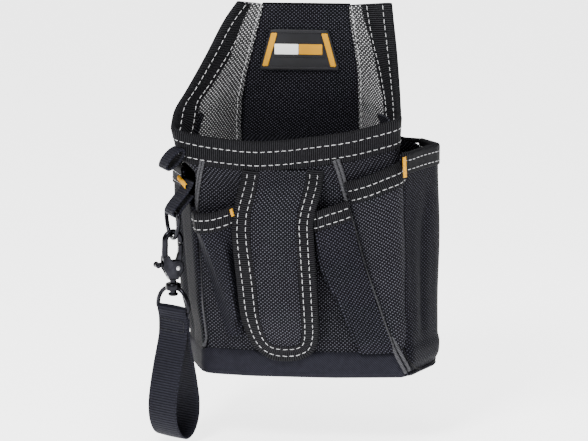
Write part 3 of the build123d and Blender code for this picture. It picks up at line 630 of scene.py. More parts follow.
# ---- wings: free front edge and root of each, joined by a straight-woven sheet ----
edge_left = [(64.0, (-45.0, -15.0)), (50.5, (-54.5, -18.5)), (25.0, (-67.5, -30.0)), (3.0, (-79.5, -47.0)),
             (-7.0, (-85.5, -58.5)), (-15.0, (-88.0, -66.5))]
edge_right = [(64.0, (62.6, -13.0)), (33.0, (66.8, -23.0)), (3.0, (70.8, -44.5)), (-7.0, (72.2, -57.0)),
              (-15.0, (73.2, -66.0))]
root_left = [(61.0, -29.5), (20.0, -39.5), (MOUTH, -48.0)]
root_right = [(61.0, 33.5), (20.0, 39.5), (MOUTH, 44.0)]


def wing_point(side, t, f, off=0.0):
    """t runs from the mouth (0) to the top (1), f from the root (0) to the free edge (1)."""
    t, f = np.broadcast_arrays(np.asarray(t, float), np.asarray(f, float))
    edge, root = (edge_left, root_left) if side < 0 else (edge_right, root_right)
    z_edge, z_root = lerp(-15.0, 63.5, t), lerp(MOUTH, 61.0, t)
    e = np.concatenate([curve(edge, z_edge), z_edge[..., None]], axis=-1)
    r = np.stack([curve(root, z_root), np.full(t.shape, FACE - 0.5), z_root], axis=-1)
    p = r + (e - r) * f[..., None]
    sag = np.sin(math.pi * f) * (1.6 + 1.4 * np.sin(3.0 * t + side)) * np.clip(t / 0.4, 0, 1)
    out = np.stack([np.full(t.shape, side * 0.75), np.full(t.shape, 0.65), np.zeros(t.shape)], axis=-1)
    return p + out * (sag + off)[..., None]


for side, word in ((-1, "left"), (1, "right")):
    t, f = np.meshgrid(np.linspace(0, 1, 50), np.linspace(0, 1, 26), indexing="ij")
    panel(f"wing_{word}", wing_point(side, t, f), 2.0, "nylon_dark", side > 0)
    t, f = np.meshgrid(np.linspace(0.06, 1, 44), np.linspace(0.02, 0.80, 24), indexing="ij")
    under_tape = 1 - smooth_step(f, 0.45, 0.68)
    upper = wing_point(side, t, f, -1.45 - 2.2 * (1 - smooth_step(t, 0.06, 0.35)) * under_tape)
    deep = []
    for z in np.linspace(-58.0, MOUTH - 3.0, 26):
        root = main.ends(z)[0 if side < 0 else 1]
        free = float(curve(front_left_s if side < 0 else front_right_s, z))
        deep.append(main.at(lerp(root, free, f[0]), z, -1.7 - 1.9 * under_tape[0]))
    deep = np.array(deep)
    blend = np.linspace(0, 1, 26)[:, None, None]**6
    deep = deep * (1 - blend) + (upper[:1] + np.array([0, 0, 1.0]) * (deep[..., 2:] - upper[:1, :, 2:])) * blend
    facing = np.concatenate([deep, upper])
    panel(f"wing_facing_{word}", facing, 0.9, "grey", side > 0)
    seam = facing[12:, 2]
    up = unit(np.cross(np.gradient(seam, axis=0), facing[12:, 4] - seam) * -side)
    stitches("white", seam + up * 0.4, up, pitch=4.6)

# ---- one binding tape round the wings' free edges and the front of the mouth ----
mouth_width, wing_width = 18.6, 20.0


def u_tape(name, rim, down, width_out, width_in, cad, lift=1.6, rows_out=(), rows_in=(), thick=1.1):
    """Tape folded over an edge: rim points, direction into the cloth, widths down both faces."""
    down = unit(down)
    out = unit(np.cross(down, unit(np.gradient(rim, axis=0))))
    width_out = np.broadcast_to(np.asarray(width_out, float), len(rim))
    width_in = np.broadcast_to(np.asarray(width_in, float), len(rim))
    cols = [rim + down * (width_out * f)[:, None] + out * lift for f in np.linspace(1, 0, 7)]
    cols += [rim + (out * math.cos(a) - down * math.sin(a)) * lift for a in np.linspace(0, math.pi, 5)[1:-1]]
    cols += [rim + down * (width_in * f)[:, None] - out * lift for f in np.linspace(0, 1, 7)]
    shell(name, np.stack(cols, axis=1), thick, M["tape"], "pouch", cad, flip=True)
    for rows, sign in ((rows_out, 1), (rows_in, -1)):
        for row in rows:
            stitches("white", rim + down * row + out * sign * (lift + thick / 2 - 0.15), out * sign)


t_wing = np.linspace(1, 0.0, 46)
left_edge = wing_point(-1, t_wing, np.ones(46))
left_root = wing_point(-1, t_wing, np.full(46, 0.5))
s_front = np.linspace(-101, 86.5, 118)
front_rim = main.at(s_front, rim_z(s_front), -1.0)
front_down = main.at(s_front, rim_z(s_front) - 16.0, -1.0) - front_rim
right_edge = wing_point(1, t_wing[::-1], np.ones(46))
right_root = wing_point(1, t_wing[::-1], np.full(46, 0.5))
loop = np.concatenate([left_edge[:-3], front_rim[2:-2], right_edge[3:]])
into = np.concatenate([(left_root - left_edge)[:-3], front_down[2:-2], (right_root - right_edge)[3:]])
into = unit(into)
span = resample(np.concatenate([loop, into], axis=1), 230)
loop, into = span[:, :3], span[:, 3:]
for _ in range(10):
    into[1:-1] = (into[:-2] + into[1:-1] + into[2:]) / 3
for _ in range(4):
    loop[1:-1] = (loop[:-2] + loop[1:-1] * 2 + loop[2:]) / 4
on_front = np.clip((into[:, 2] * -1 - 0.3) / 0.4, 0, 1)
turn_l = int(np.argmax(on_front > 0.5))
turn_r = len(loop) - 1 - int(np.argmax(on_front[::-1] > 0.5))
wide_tape = lerp(wing_width, mouth_width, on_front)
for word, low, high, node in (("wing_binding_left_tape", 0, turn_l + 1, "wing_binding_left"),
                              ("mouth_binding_tape", turn_l, turn_r + 1, "mouth_binding"),
                              ("wing_binding_right_tape", turn_r, len(loop), "wing_binding_right")):
    part = slice(low, high)
    rows = (5.4, 15.0) if node == "mouth_binding" else (4.6, 16.4)
    u_tape(word, loop[part], into[part], wide_tape[part], wide_tape[part], [node], rows_out=rows, rows_in=rows)

# ---- base: board, panel and the twill band folded round the lower edge ----
def foot_window(s):
    """1 where the right pocket's cloth runs down over the base band, 0 elsewhere."""
    return smooth_step(s, 77.0, 84.0) * (1 - smooth_step(s, 150.0, 168.0))


s_ring = np.linspace(-1, 1, 150)


def ring_at(z, h, wall=outer):
    a, b = wall.ends(z)
    s = np.where(s_ring < 0, -s_ring * a, s_ring * b)
    return wall.at(s, z, h)


def floor_sheet(name, z, h, thick, material, cad, wall=outer):
    ring = ring_at(z, h, wall)
    rear = lerp(ring[0], ring[-1], np.linspace(0.02, 0.98, len(ring))[:, None])
    inset = np.array([lerp(rear, ring, f) for f in np.linspace(0.0, 1.0, 12)])
    shell(name, inset, thick, material, "pouch", cad)


floor_sheet("base_panel_cloth", BOTTOM + 1.2, -0.6, 2.2, M["nylon_dark"], ["base_panel"])
floor_sheet("base_board_sheet", BOTTOM + 4.0, -5.0, 2.4, M["badge"], ["base_board"], main)
a, b = outer.ends(BAND)
s_band = np.where(s_ring < 0, -s_ring * a, s_ring * b)
tucked = 3.6 * foot_window(s_band) + 1.6 * smooth_step(s_band, -112, -98) * (1 - smooth_step(s_band, -66, -52))
rows = [ring_at(z, h - tucked) for z, h in ((BOTTOM + 0.3, -2.6), (BOTTOM - 0.4, -0.6), (BOTTOM + 0.3, 0.9),
                                            (BOTTOM + 3, 1.25), (BOTTOM + 9, 1.4), (BAND - 4, 1.4),
                                            (BAND - 1.0, 0.9), (BAND - 0.2, -0.6))]
shell("base_band_cloth", np.array(rows), 1.2, M["twill"], "pouch", ["base_band"], flip=True)

# ---- side pockets: outer walls standing off the gussets, with their rim tapes ----


def pocket_rim_right(s):
    return curve([(70, -33.5), (84, -33.8), (100, -33.2), (118, -33.4), (135, -35.0), (168, -37.5)], s)


def pocket_rim_left(s):
    return curve([(-170, -42.0), (-140, -46.0), (-110, -49.0), (-88, -49.5), (-70, -48.0)], s)


def right_stand(s, z):
    fold = np.exp(-((s - 103.0 - 0.05 * (z + 110)) / 4.5)**2) * smooth_step(-z, 50, 90) * smooth_step(z, -178, -150)
    ridge = np.exp(-((s - 92.0) / 5.0)**2) * smooth_step(-z, 50, 90) * smooth_step(z, -178, -150)
    foot = 1.4 * smooth_step(-z, 170, 177.5) - 3.2 * smooth_step(-z, 183, 193.5)
    return -1.0 - 1.8 * fold + 0.8 * ridge + foot * foot_window(s)


def left_stand(s, z):
    fold = np.exp(-((s + 98.0 + 0.06 * (z + 110)) / 5.0)**2) + 0.7 * np.exp(-((s + 122.0) / 6.0)**2)
    return -1.0 - 1.8 * fold * smooth_step(-z, 55, 95) * smooth_step(z, -186, -160)


right_cloth = wall_patch(outer, lambda z: curve(front_right_s, z) - 2.0, lambda z: outer.ends(z)[1], BOTTOM + 2,
                         pocket_rim_right, 80, 60, right_stand)
left_cloth = wall_patch(outer, lambda z: outer.ends(z)[0], lambda z: curve(front_left_s, z) + 2.0, BOTTOM + 2,
                        pocket_rim_left, 80, 60, left_stand)
for word, grid in (("right", right_cloth), ("left", left_cloth)):
    # The side pockets take the darker nylon copy as painted shade of the side faces.
    panel(f"side_pocket_{word}", grid, 2.0, "side")
for word, grid in (("right", right_cloth), ("left", left_cloth)):
    top = grid[-1]
    u_tape(f"side_binding_{word}_tape", top, grid[-9] - top, 13.0, 12.0, [f"side_binding_{word}"],
           rows_out=(3.6, 10.4), rows_in=(3.6,))
# ------------------------------------------------------------------ pieces on the front


def mapped_tape(name, path, width, place, cad, side=1, rows=(), count=60, pitch=5.0, columns=6, back_width=None,
                rows_below=0.0):
    """Folded tape along a path in (s, z); side says on which hand of the path the cloth lies."""
    lift, thick = 1.3, 1.0
    path = smooth_line(path, count)
    into = left_of(path) * side
    stops = [(w, lift) for w in np.linspace(width, 0, columns)]
    stops += [(-math.sin(a) * lift, lift * math.cos(a)) for a in np.linspace(0, math.pi, 5)[1:-1]]
    stops += [(w, -lift) for w in np.linspace(0, back_width or width, columns)]

    def line(w, h):
        return place(path[:, 0] + into[:, 0] * w, path[:, 1] + into[:, 1] * w, h)

    shell(name, np.stack([line(w, h) for w, h in stops], axis=1), thick, M["tape"], "pouch", cad,
          flip=side < 0)
    for row in rows:
        low = line(row, lift)
        up = unit(line(row, lift + 1.0) - low)
        seen = path[:, 1] < rows_below
        stitches("white", (low + up * (thick / 2 - 0.15))[seen], up[seen], pitch=pitch)


# Tongue: a bowed strip whose rounded foot is sewn over the base band.
tongue_left = [(-180.5, -6.0), (-179.2, -14.0), (-176.8, -19.5), (-173.0, -24.5), (-165.0, -29.2), (-148.0, -33.0),
               (-123.0, -35.2), (-92.0, -38.3), (-74.0, -38.5), (-56.0, -35.4), (-34.0, -33.3)]
tongue_right = [(-180.5, -6.0), (-179.2, 5.0), (-176.8, 11.5), (-173.0, 15.4), (-165.0, 17.3), (-148.0, 17.4),
                (-123.0, 16.2), (-92.0, 14.4), (-76.0, 14.2), (-52.0, 20.0), (-34.0, 20.8)]
tongue_stand = [(-186, 2.4), (-176, 3.4), (-165, 7.0), (-140, 13.2), (-95, 15.0), (-62, 10.0), (-54, 5.0),
                (-48, 0.9), (-44, 0.0), (-40, -0.5), (-34, -0.6)]


def tongue_place(s, z, h):
    left, right = curve(tongue_left, z), curve(tongue_right, z)
    middle, half = (left + right) / 2, np.maximum((right - left) / 2, 14.0)
    u = np.clip((s - middle) / half, -1.15, 1.15)
    crown = 3.4 * (1 - u**2) * np.clip((curve(tongue_stand, z) - 0.5) / 5.0, 0, 1)
    return main.at(s, z, curve(tongue_stand, z) + crown + h)


z_rows = np.concatenate([np.linspace(-44.5, -170, 64), np.linspace(-171.0, -178.4, 10)])
t_grid = np.array([[lerp(float(curve(tongue_left, z)) + 0.8, float(curve(tongue_right, z)) - 0.8, f)
                    for f in np.linspace(0, 1, 25)] for z in z_rows])
z_grid = np.repeat(z_rows[:, None], 25, 1)
panel("tongue_panel", tongue_place(t_grid, z_grid, np.zeros(t_grid.shape)), 1.9, "nylon", flip=False)
tongue_path = [(-34.3, -44.8), (-35.4, -57), (-38.4, -74), (-38.3, -92), (-35.2, -123), (-33, -147), (-29.6, -163),
               (-24.5, -173.0), (-16.0, -178.9), (-5.0, -180.4), (6.0, -179.0), (14.0, -173.6), (17.2, -163.5),
               (17.4, -148), (16.2, -123), (14.4, -92), (14.2, -77), (19.2, -56), (20.3, -44.8)]
mapped_tape("tongue_binding_tape", tongue_path, 10.0, tongue_place, ["tongue_binding"], side=1, rows=(2.6, 8.0),
            count=170, pitch=4.8, columns=5, rows_below=-46.5)


def pocket_maker(left, right, bulge, profile):
    """Place function of a small pocket from its seams, bulge and cross profile."""
    def place(u, z, h=0.0):
        a, b = curve(left, z), curve(right, z)
        shift, rise = profile(np.clip(u, 0, 1), z)
        s = a + (b - a) * (np.clip(u, 0, 1) + shift) + np.where(u < 0, u, np.where(u > 1, u - 1, 0)) * 10.0
        return main.at(s, z, 1.0 + curve(bulge, z) * rise + h)
    return place


def left_profile(u, z):
    fold = smooth_step(-z, 84, 118) * (1 - smooth_step(-z, 150, 166)) * 0.75
    ridge = 0.20 + 0.28 * smooth_step(-z, 78, 160)
    rise = np.where(u < ridge, 0.82 * (u / ridge)**1.2, 0.82 + 0.18 * np.sin(math.pi * (u - ridge) / (1 - ridge)))
    return 0 * u, rise - fold * smooth_step(u, 0.72, 0.84)


def right_profile(u, z):
    foot = smooth_step(u, 0.0, 0.13)
    return -0.10 * (1 - u) * smooth_step(u, 0.0, 0.10) * (1 - smooth_step(u, 0.2, 0.9)), foot * (1 - 0.62 * u**1.3)


small = {
    "left": ([(-166, -47.0), (-140, -54.5), (-122, -59.5), (-100, -66.0), (-88, -69.5), (-70, -71.5)],
             [(-166, -37.0), (-140, -34.0), (-100, -37.0), (-66, -39.0)],
             [(-168, 0.6), (-158, 4.0), (-140, 9.0), (-110, 11.5), (-70, 12.5)],
             lambda u: -77.5 + 8.0 * u**2.0, left_profile, -165.0),
    "right": ([(-178, 49.0), (-140, 33.0), (-110, 20.0), (-95, 17.2), (-66, 16.0)],
              [(-178, 72.5), (-140, 59.0), (-109, 49.2), (-84, 42.4), (-62, 36.5)],
              [(-179, 2.0), (-165, 6.5), (-140, 9.0), (-100, 10.5), (-62, 11.5)],
              lambda u: -75.5 + 9.0 * u**0.7, right_profile, -176.0),
}
for word, (seam_l, seam_r, bulge, rim, profile, low_z) in small.items():
    place = pocket_maker(seam_l, seam_r, bulge, profile)
    u, t = np.meshgrid(np.linspace(0, 1, 34), np.linspace(0, 1, 60))
    z = low_z + (rim(u) - low_z) * t
    panel(f"front_pocket_{word}", place(u, z), 1.8, "nylon_dark")
    u_line = np.linspace(0.0, 1.0, 46)
    top = place(u_line, rim(u_line))
    u_tape(f"front_binding_{word}_tape", top, place(u_line, rim(u_line) - 8.0) - top, 12.0, 9.0,
           [f"front_binding_{word}"], rows_out=(3.2, 9.6), lift=1.45, thick=1.0)

# Wrap pocket between the diagonal piping and the front right corner.
piping_path = [(30.0, -36.0), (33.5, -46.0), (37.8, -61.3), (44.3, -84.0), (50.9, -109.0), (61.0, -138.5),
               (71.5, -169.0), (80.0, -190.5)]
piping_table = [(z, x) for x, z in piping_path]


def wrap_rim(s):
    return curve([(34, -54.5), (50, -49.0), (66, -43.0), (80, -37.0)], s)


def wrap_place(s, z, h=0.0):
    a, b = curve(piping_table, z) + 1.0, curve(front_right_s, z)
    u = np.clip((s - a) / np.maximum(b - a, 4.0), 0, 1)
    fade = smooth_step(z, -178, -150)
    rise = (0.8 + 6.0 * np.sin(math.pi * u**0.85)**0.8 * (0.35 + 0.65 * smooth_step(z, -150, -80))) * fade
    return main.at(s, z, 1.0 + rise + h)


u, t = np.meshgrid(np.linspace(0, 1, 36), np.linspace(0, 1, 70))
z_wrap = -177.0 + t * 140.0
for again in (True, False):
    s_wrap = lerp(curve(piping_table, z_wrap) + 1.0, curve(front_right_s, z_wrap) + 1.0, u)
    z_wrap = -177.0 + (wrap_rim(s_wrap) + 177.0) * t if again else z_wrap
panel("wrap_pocket_right", wrap_place(s_wrap, z_wrap), 1.9, "nylon")
wrap_path = [(s, float(wrap_rim(s))) for s in (36.5, 44.0, 52.0, 60.0, 68.0, 75.0, 80.0)]
mapped_tape("wrap_binding_right_tape", wrap_path, 14.0, wrap_place, ["wrap_binding_right"], side=-1,
            rows=(5.0, 11.8), count=46, back_width=10.0)


def tube(name, path, radius, material, body, cad=(), sides=12, closed=False):
    """Round rod along a path with capped ends."""
    points, faces, uvs = tube_parts(np.asarray(path, float), radius, sides, closed)
    make(name, points, faces, material, body, cad, uvs, sharp=60)


def tube_parts(path, radius, sides=12, closed=False, taper=None):
    """Parts of a rod; taper gives the radius share along it."""
    n = len(path)
    ahead = unit(np.roll(path, -1, 0) - np.roll(path, 1, 0) if closed else np.gradient(path, axis=0))
    across = unit(np.cross(ahead[0], np.array([0.31, 0.52, 0.80])))
    frames = []
    for k in range(n):
        across = unit(across - ahead[k] * np.dot(across, ahead[k]))
        frames.append((across, np.cross(ahead[k], across)))
    r = np.full(n, radius, float) if taper is None else radius * np.asarray(taper, float)
    points, uvs = [], []
    d = walked(path)
    for k in range(n):
        for a in range(sides):
            ang = 2 * math.pi * a / sides
            points.append(path[k] + (frames[k][0] * math.cos(ang) + frames[k][1] * math.sin(ang)) * r[k])
            uvs.append((d[k], a / sides * 2 * math.pi * radius))
    faces = []
    for k in range(n if closed else n - 1):
        m = (k + 1) % n
        shift = 0
        if closed and m == 0:
            last, (first, second) = frames[-1][0], frames[0]
            lag = math.atan2(np.dot(last, second), np.dot(last, first))
            shift = int(round(lag / (2 * math.pi) * sides))
        for a in range(sides):
            c = (a + 1) % sides
            faces.append((k * sides + a, k * sides + c, m * sides + (c + shift) % sides,
                          m * sides + (a + shift) % sides))
    if not closed:
        for k, sign in ((0, -1), (n - 1, 1)):
            tip = len(points)
            points.append(path[k] + ahead[k] * sign * r[k] * 0.5)
            uvs.append(uvs[k * sides])
            for a in range(sides):
                face = (k * sides + a, k * sides + (a + 1) % sides, tip)
                faces.append(face[::-1] if sign < 0 else face)
    return points, faces, uvs


def joined(name, parts, material, body, cad):
    """Several closed lumps in one piece."""
    points, faces, uvs = [], [], []
    for p, f, t in parts:
        base = len(points)
        points += [tuple(q) for q in p]
        uvs += [tuple(q) for q in t]
        faces += [tuple(base + i for i in face) for face in f]
    make(name, points, faces, material, body, cad, uvs, sharp=50)


def cord(name, path, cad, h, radius):
    """Two twisted strands side by side along a path in (s, z)."""
    line = smooth_line(path, 120)
    sideways = left_of(line)
    proud = h + 2.4 * smooth_step(-line[:, 1], 168, 178)
    beads = 1 + 0.10 * np.sin(np.arange(120) * 2.1)
    joined(name, [tube_parts(main.at(line[:, 0] + sideways[:, 0] * shift, line[:, 1] + sideways[:, 1] * shift, proud),
                             radius, 10, taper=beads) for shift in (-radius, radius)],
           M["cord"], "pouch", cad)


cord("piping_right_cord", piping_path, ["piping_right"], 1.3, 1.35)
cord("piping_left_cord", [(-65.5, -40.0), (-70.0, -74.0), (-70.0, -100.0), (-68.0, -140.0), (-64.5, -175.5)],
     ["piping_left"], 0.9, 1.0)

back_edge = smooth_line([(56.0, -6.2, -26.0), (64.0, -6.4, -33.5), (72.0, -6.4, -36.6), (80.0, -6.4, -37.4),
                         (86.0, -7.0, -37.6), (88.5, -10.0, -37.4)], 50)
tube("side_pocket_right_back_edge", back_edge, 1.9, M["tape"], "pouch", sides=12)
foot_path = smooth_line([(78.0, -171.5), (81.0, -180.0), (86.0, -186.5), (95.0, -190.8), (108.0, -192.3),
                         (121.0, -191.2), (134.0, -190.0), (150.0, -190.0)], 90)
foot_h = right_stand(foot_path[:, 0], foot_path[:, 1]) + 1.2
tube("side_pocket_right_foot_seam", outer.at(foot_path[:, 0], foot_path[:, 1], foot_h), 0.8, M["tape"], "pouch",
     sides=10)

# ------------------------------------------------------------------ badge


def slab(corners, radius, y_face, height, bevel):
    """Moulded block on a plane facing the front: corners in (x, z), rounded upper edge."""
    line = soft_outline(corners, radius)
    inward = inward_of(line)
    stops = [(0.0, 0.0)] + [(bevel * (1 - math.cos(a)), height - bevel + bevel * math.sin(a))
                            for a in np.linspace(0, math.pi / 2, 4)]
    outlines = [line + inward * inset for inset, _ in stops]
    return lump([np.stack([q[:, 0], np.full(len(q), y_face - rise), q[:, 1]], axis=1)
                 for q, (_, rise) in zip(outlines, stops)], outlines)


BX = -2.5
plate_y = FACE - 1.0
def badge_box(left, right, z_low, z_high):
    return [(BX + left, z_low), (BX + right, z_low), (BX + right, z_high), (BX + left, z_high)]


plate = [slab([(BX - 29.5, 13.5), (BX + 29.5, 13.5), (BX + 21.3, 43.5), (BX - 21.3, 43.5)], 2.2, plate_y + 1.0, 2.9,
              0.7)]
for half, z0, z1 in ((28.6, 14.4, 16.2), (21.0, 41.0, 42.8)):
    plate.append(slab([(BX - half, z0), (BX + half, z0), (BX + half * 0.985, z1), (BX - half * 0.985, z1)], 0.7,
                      plate_y - 1.8, 0.7, 0.35))
plate.append(slab([(BX - 19.0, 23.0), (BX + 19.0, 23.0), (BX + 18.4, 34.0), (BX - 18.4, 34.0)], 1.0, plate_y - 1.8,
                  0.55, 0.3))
joined("badge_plate_moulding", plate, M["badge"], "pouch", ["badge_plate"])
bars = []
for sign in (-1, 1):
    quad = [(BX + sign * 27.0, 16.6), (BX + sign * 22.8, 16.6), (BX + sign * 15.9, 41.0), (BX + sign * 20.4, 41.0)]
    bars.append(slab(quad[::-sign], 0.9, plate_y - 1.6, 1.5, 0.5))
joined("badge_bars_moulding", bars, M["badge_yellow"], "pouch", ["badge_bars"])
for word, left, right in (("white", -18.0, -0.6), ("yellow", -0.4, 16.8)):
    joined(f"badge_stripe_{word}_moulding", [slab(badge_box(left, right, 25.4, 33.0), 0.6, plate_y - 2.1, 0.9, 0.3)],
           M[f"badge_{word}"], "pouch", [f"badge_stripe_{word}"])

# ------------------------------------------------------------------ belt tunnel behind the back

tunnel_profile = [(48.0, -2.1), (44.0, -2.1), (39.0, -1.9), (35.0, -0.4), (31.0, 2.4), (26.0, 3.7), (12.0, 4.1),
                  (-12.0, 4.1), (-26.0, 3.7), (-31.0, 2.4), (-35.0, -0.4), (-39.0, -1.9), (-44.0, -2.1), (-48.0, -2.1)]
tunnel_line = smooth_line(tunnel_profile, 70)
x_line = np.linspace(-35, 35, 24)
tunnel_grid = np.array([[(x, y, z) for x in x_line] for z, y in tunnel_line])
shell("belt_tunnel_webbing", tunnel_grid, 1.6, M["webbing"], "pouch", ["belt_tunnel"],
      uv=np.stack([np.repeat(x_line[None], 70, 0), np.repeat(tunnel_line[:, :1], 24, 1)], axis=2))
for z0 in (37.0, -47.0):
    z1 = z0 + 9.5
    box = [(-33, z0), (33, z0), (33, z1), (-33, z1), (-33, z0)]
    crosses = [((-33, z0), (0, z1)), ((0, z1), (33, z0)), ((-33, z1), (0, z0)), ((0, z0), (33, z1))]
    for a, b in [*zip(box, box[1:]), *crosses]:
        stitches("black_thread", [(a[0], -1.25, a[1]), (b[0], -1.25, b[1])], (0, 1, 0), pitch=4.0)

# ------------------------------------------------------------------ hanging chain

CX, CY = -86.317, -87.317
turn_eye = math.radians(-33.0)
EX = np.array([0.87287, 0.48797, 0.0])
EY = np.array([-0.48797, 0.87287, 0.0])
EW = np.array([math.cos(turn_eye), math.sin(turn_eye), 0.0])
EN = np.array([-EW[1], EW[0], 0.0])


def chain(a, b, z, u=EX, v=EY):
    """Point in the chain's own frame: a towards the pouch wall, b along it."""
    a, b, z = np.broadcast_arrays(np.asarray(a, float), np.asarray(b, float), np.asarray(z, float))
    return np.stack([CX + u[0] * a + v[0] * b, CY + u[1] * a + v[1] * b, z], axis=-1)


def strip(name, line, width, thick, body, cad, u=EX, v=EY, shift=0.0, cup=0.0):
    """Webbing along a line in (a, z), its width across b."""
    line = np.asarray(line, float)
    columns = 15
    b = np.linspace(-width / 2, width / 2, columns) + shift
    push = cup * ((b - shift) / (width / 2))**2
    step = unit(np.gradient(line, axis=0))
    grid = np.array([chain(a - da[1] * push, b, z + da[0] * push, u, v) for (a, z), da in zip(line, step)])
    uv = np.stack([np.repeat(walked(line)[:, None], columns, 1), np.repeat(b[None], len(line), 0)], axis=2)
    shell(name, grid, thick, M["webbing"], body, cad, uv=uv)
    return grid


# Loop and tab on the side pocket.
oval = [(9.0 * math.cos(t), 3.2 * math.sin(t)) for t in np.linspace(0, 2 * math.pi, 40, endpoint=False)]
tilt = math.radians(45)
loop_line = [(2.4 + p * math.cos(tilt) - q * math.sin(tilt), -39.5 + p * math.sin(tilt) + q * math.cos(tilt))
             for p, q in oval]
loop_line = np.array(loop_line + loop_line[:2])
strip("side_loop_webbing", loop_line, 14.0, 1.6, "pouch", ["side_loop"], shift=6.0)
tab_front = smooth_line([(12.9, -55.0), (11.6, -58.5), (7.6, -63.5), (2.2, -69.5), (-1.4, -74.0), (-2.4, -77.4),
                         (0.0, -79.5), (2.3, -78.4), (4.0, -74.8), (8.6, -70.0), (12.9, -65.5)], 70)
tab_grid = strip("ring_tab_webbing", tab_front, 15.0, 1.5, "pouch", ["ring_tab"])
tab_n = normals_of(tab_grid)
for row in (15, 21):
    facing = tab_n[row] * (-1 if np.dot(tab_n[row, 7], EX) > 0 else 1)
    stitches("black_thread", tab_grid[row] + facing * 0.7, facing, pitch=3.2)

# D-ring.
arc = [(12.0 * math.cos(t), -77.0 - 19.0 * math.sin(t)) for t in np.linspace(0, math.pi, 40)]
bar = [(b, -77.0) for b in np.linspace(-12.0, 12.0, 20)[1:-1]]
ring_line = np.array(arc + bar)
for _ in range(3):
    ring_line = (np.roll(ring_line, 1, 0) + ring_line * 2 + np.roll(ring_line, -1, 0)) / 4
tube("d_ring_wire", chain(0.0, ring_line[:, 0], ring_line[:, 1]), 1.5, M["nickel"], "ring", ["d_ring"],
     sides=16, closed=True)


def casting(outline, b_low, b_high, bevel):
    """Rounded plate whose outline lies in (a, z), between b_low and b_high."""
    quarter = np.linspace(0, math.pi / 2, 4)
    stops = [(bevel * (1 - math.sin(t)), b_low + bevel * (1 - math.cos(t))) for t in quarter]
    stops += [(bevel * (1 - math.cos(t)), b_high - bevel * (1 - math.sin(t))) for t in quarter]
    inward = inward_of(outline)
    outlines = [outline + inward * inset for inset, _ in stops]
    return lump([chain(q[:, 0], b, q[:, 1]) for q, (_, b) in zip(outlines, stops)], outlines, flip=True)


def lathe(profile, count=28):
    """Turned lump round the chain's vertical axis; profile is (radius, z)."""
    t = 2 * math.pi * np.arange(count) / count
    return lump([chain(r * np.cos(t), r * np.sin(t), z) for r, z in profile],
                [np.stack([t * r, np.full(count, z)], axis=1) for r, z in profile], capped=False)


def cross_lathe(profile, a, z, count):
    """Turned lump round an axis across the chain; profile is (radius, b)."""
    t = 2 * math.pi * np.arange(count) / count
    circles = [np.stack([a + r * np.cos(t), z + r * np.sin(t)], axis=1) for r, _ in profile]
    return lump([chain(q[:, 0], b, q[:, 1]) for q, (_, b) in zip(circles, profile)], circles, flip=True)


# Snap hook: arch and post in one round bar, cheeks with the gate between them, neck.
arch = [(5.9, -99.2), (5.9, -97.4)] + [(5.9 * math.cos(t), -97.4 + 5.9 * math.sin(t))
                                       for t in np.linspace(0.1, math.pi - 0.1, 24)]
arch += [(-5.9, -97.4), (-5.95, -101.0), (-6.1, -105.0), (-6.0, -109.0), (-4.6, -112.5)]
arch = smooth_line(arch, 60)
fat = np.interp(np.arange(60), [0, 3, 30, 50, 59], [0.86, 0.98, 1.0, 1.05, 1.15])
hook = [tube_parts(chain(arch[:, 0], 0.0, arch[:, 1]), 2.2, 16, taper=fat)]
cheek = soft_outline([(-8.2, -108.0), (-8.3, -117.0), (-3.6, -125.2), (3.4, -125.2), (7.4, -119.6), (7.3, -113.6),
                      (4.0, -111.9), (-1.4, -112.2), (-3.6, -107.6)], 2.0)
hook.append(casting(cheek, 2.0, 3.2, 0.55))
hook.append(casting(cheek, -3.2, -2.0, 0.55))
hook.append(casting(soft_outline([(-4.8, -122.4), (-3.4, -126.0), (3.4, -126.0), (5.6, -122.4)], 0.8), -3.0, 3.0, 0.9))
hook.append(casting(soft_outline([(-7.9, -108.3), (-7.9, -111.9), (-2.0, -111.9), (-3.8, -108.3)], 0.8),
                    -3.0, 3.0, 0.9))
joined("hook_body_casting", hook, M["nickel"], "hook", ["hook_body"])


# Gate with its rivet and spring.
rivet = [(0.05, -3.85), (1.05, -3.75), (1.725, -3.3), (1.5, -3.1), (1.5, 3.1), (1.725, 3.3), (1.05, 3.75), (0.05, 3.85)]
joined("gate_rivet_head", [cross_lathe(rivet, 3.0, -117.5, 22)], M["steel"], "hook", ["gate_rivet"])
gate_arm = soft_outline([(0.6, -116.5), (2.6, -120.2), (5.6, -119.2), (7.0, -107.5), (7.6, -100.9), (4.3, -100.9),
                         (3.9, -106.5)], 1.1)
lever = soft_outline([(3.4, -115.0), (-9.4, -113.0), (-11.6, -113.3), (-11.6, -115.6), (-9.4, -116.0),
                      (2.4, -119.0)], 0.9)
knob = [(0.05, -3.7), (1.2, -3.6), (1.9, -3.1), (2.15, -2.4), (1.7, -1.9), (1.7, 1.9), (2.15, 2.4), (1.9, 3.1),
        (1.2, 3.6), (0.05, 3.7)]
joined("gate_casting", [casting(gate_arm, -1.6, 1.6, 0.5), casting(lever, -1.6, 1.6, 0.5),
                        cross_lathe(knob, -12.0, -114.4, 20)], M["nickel"], "gate", ["gate"])
coil = [(t, -121.9 + 3.6 * t / (2 * math.pi * 4)) for t in np.linspace(0, 2 * math.pi * 4, 110)]
tube("gate_spring_wire", [chain(-4.6 + 1.2 * math.cos(t), 1.2 * math.sin(t), z) for t, z in coil], 0.3,
     M["steel"], "hook", ["gate_spring"], sides=8)

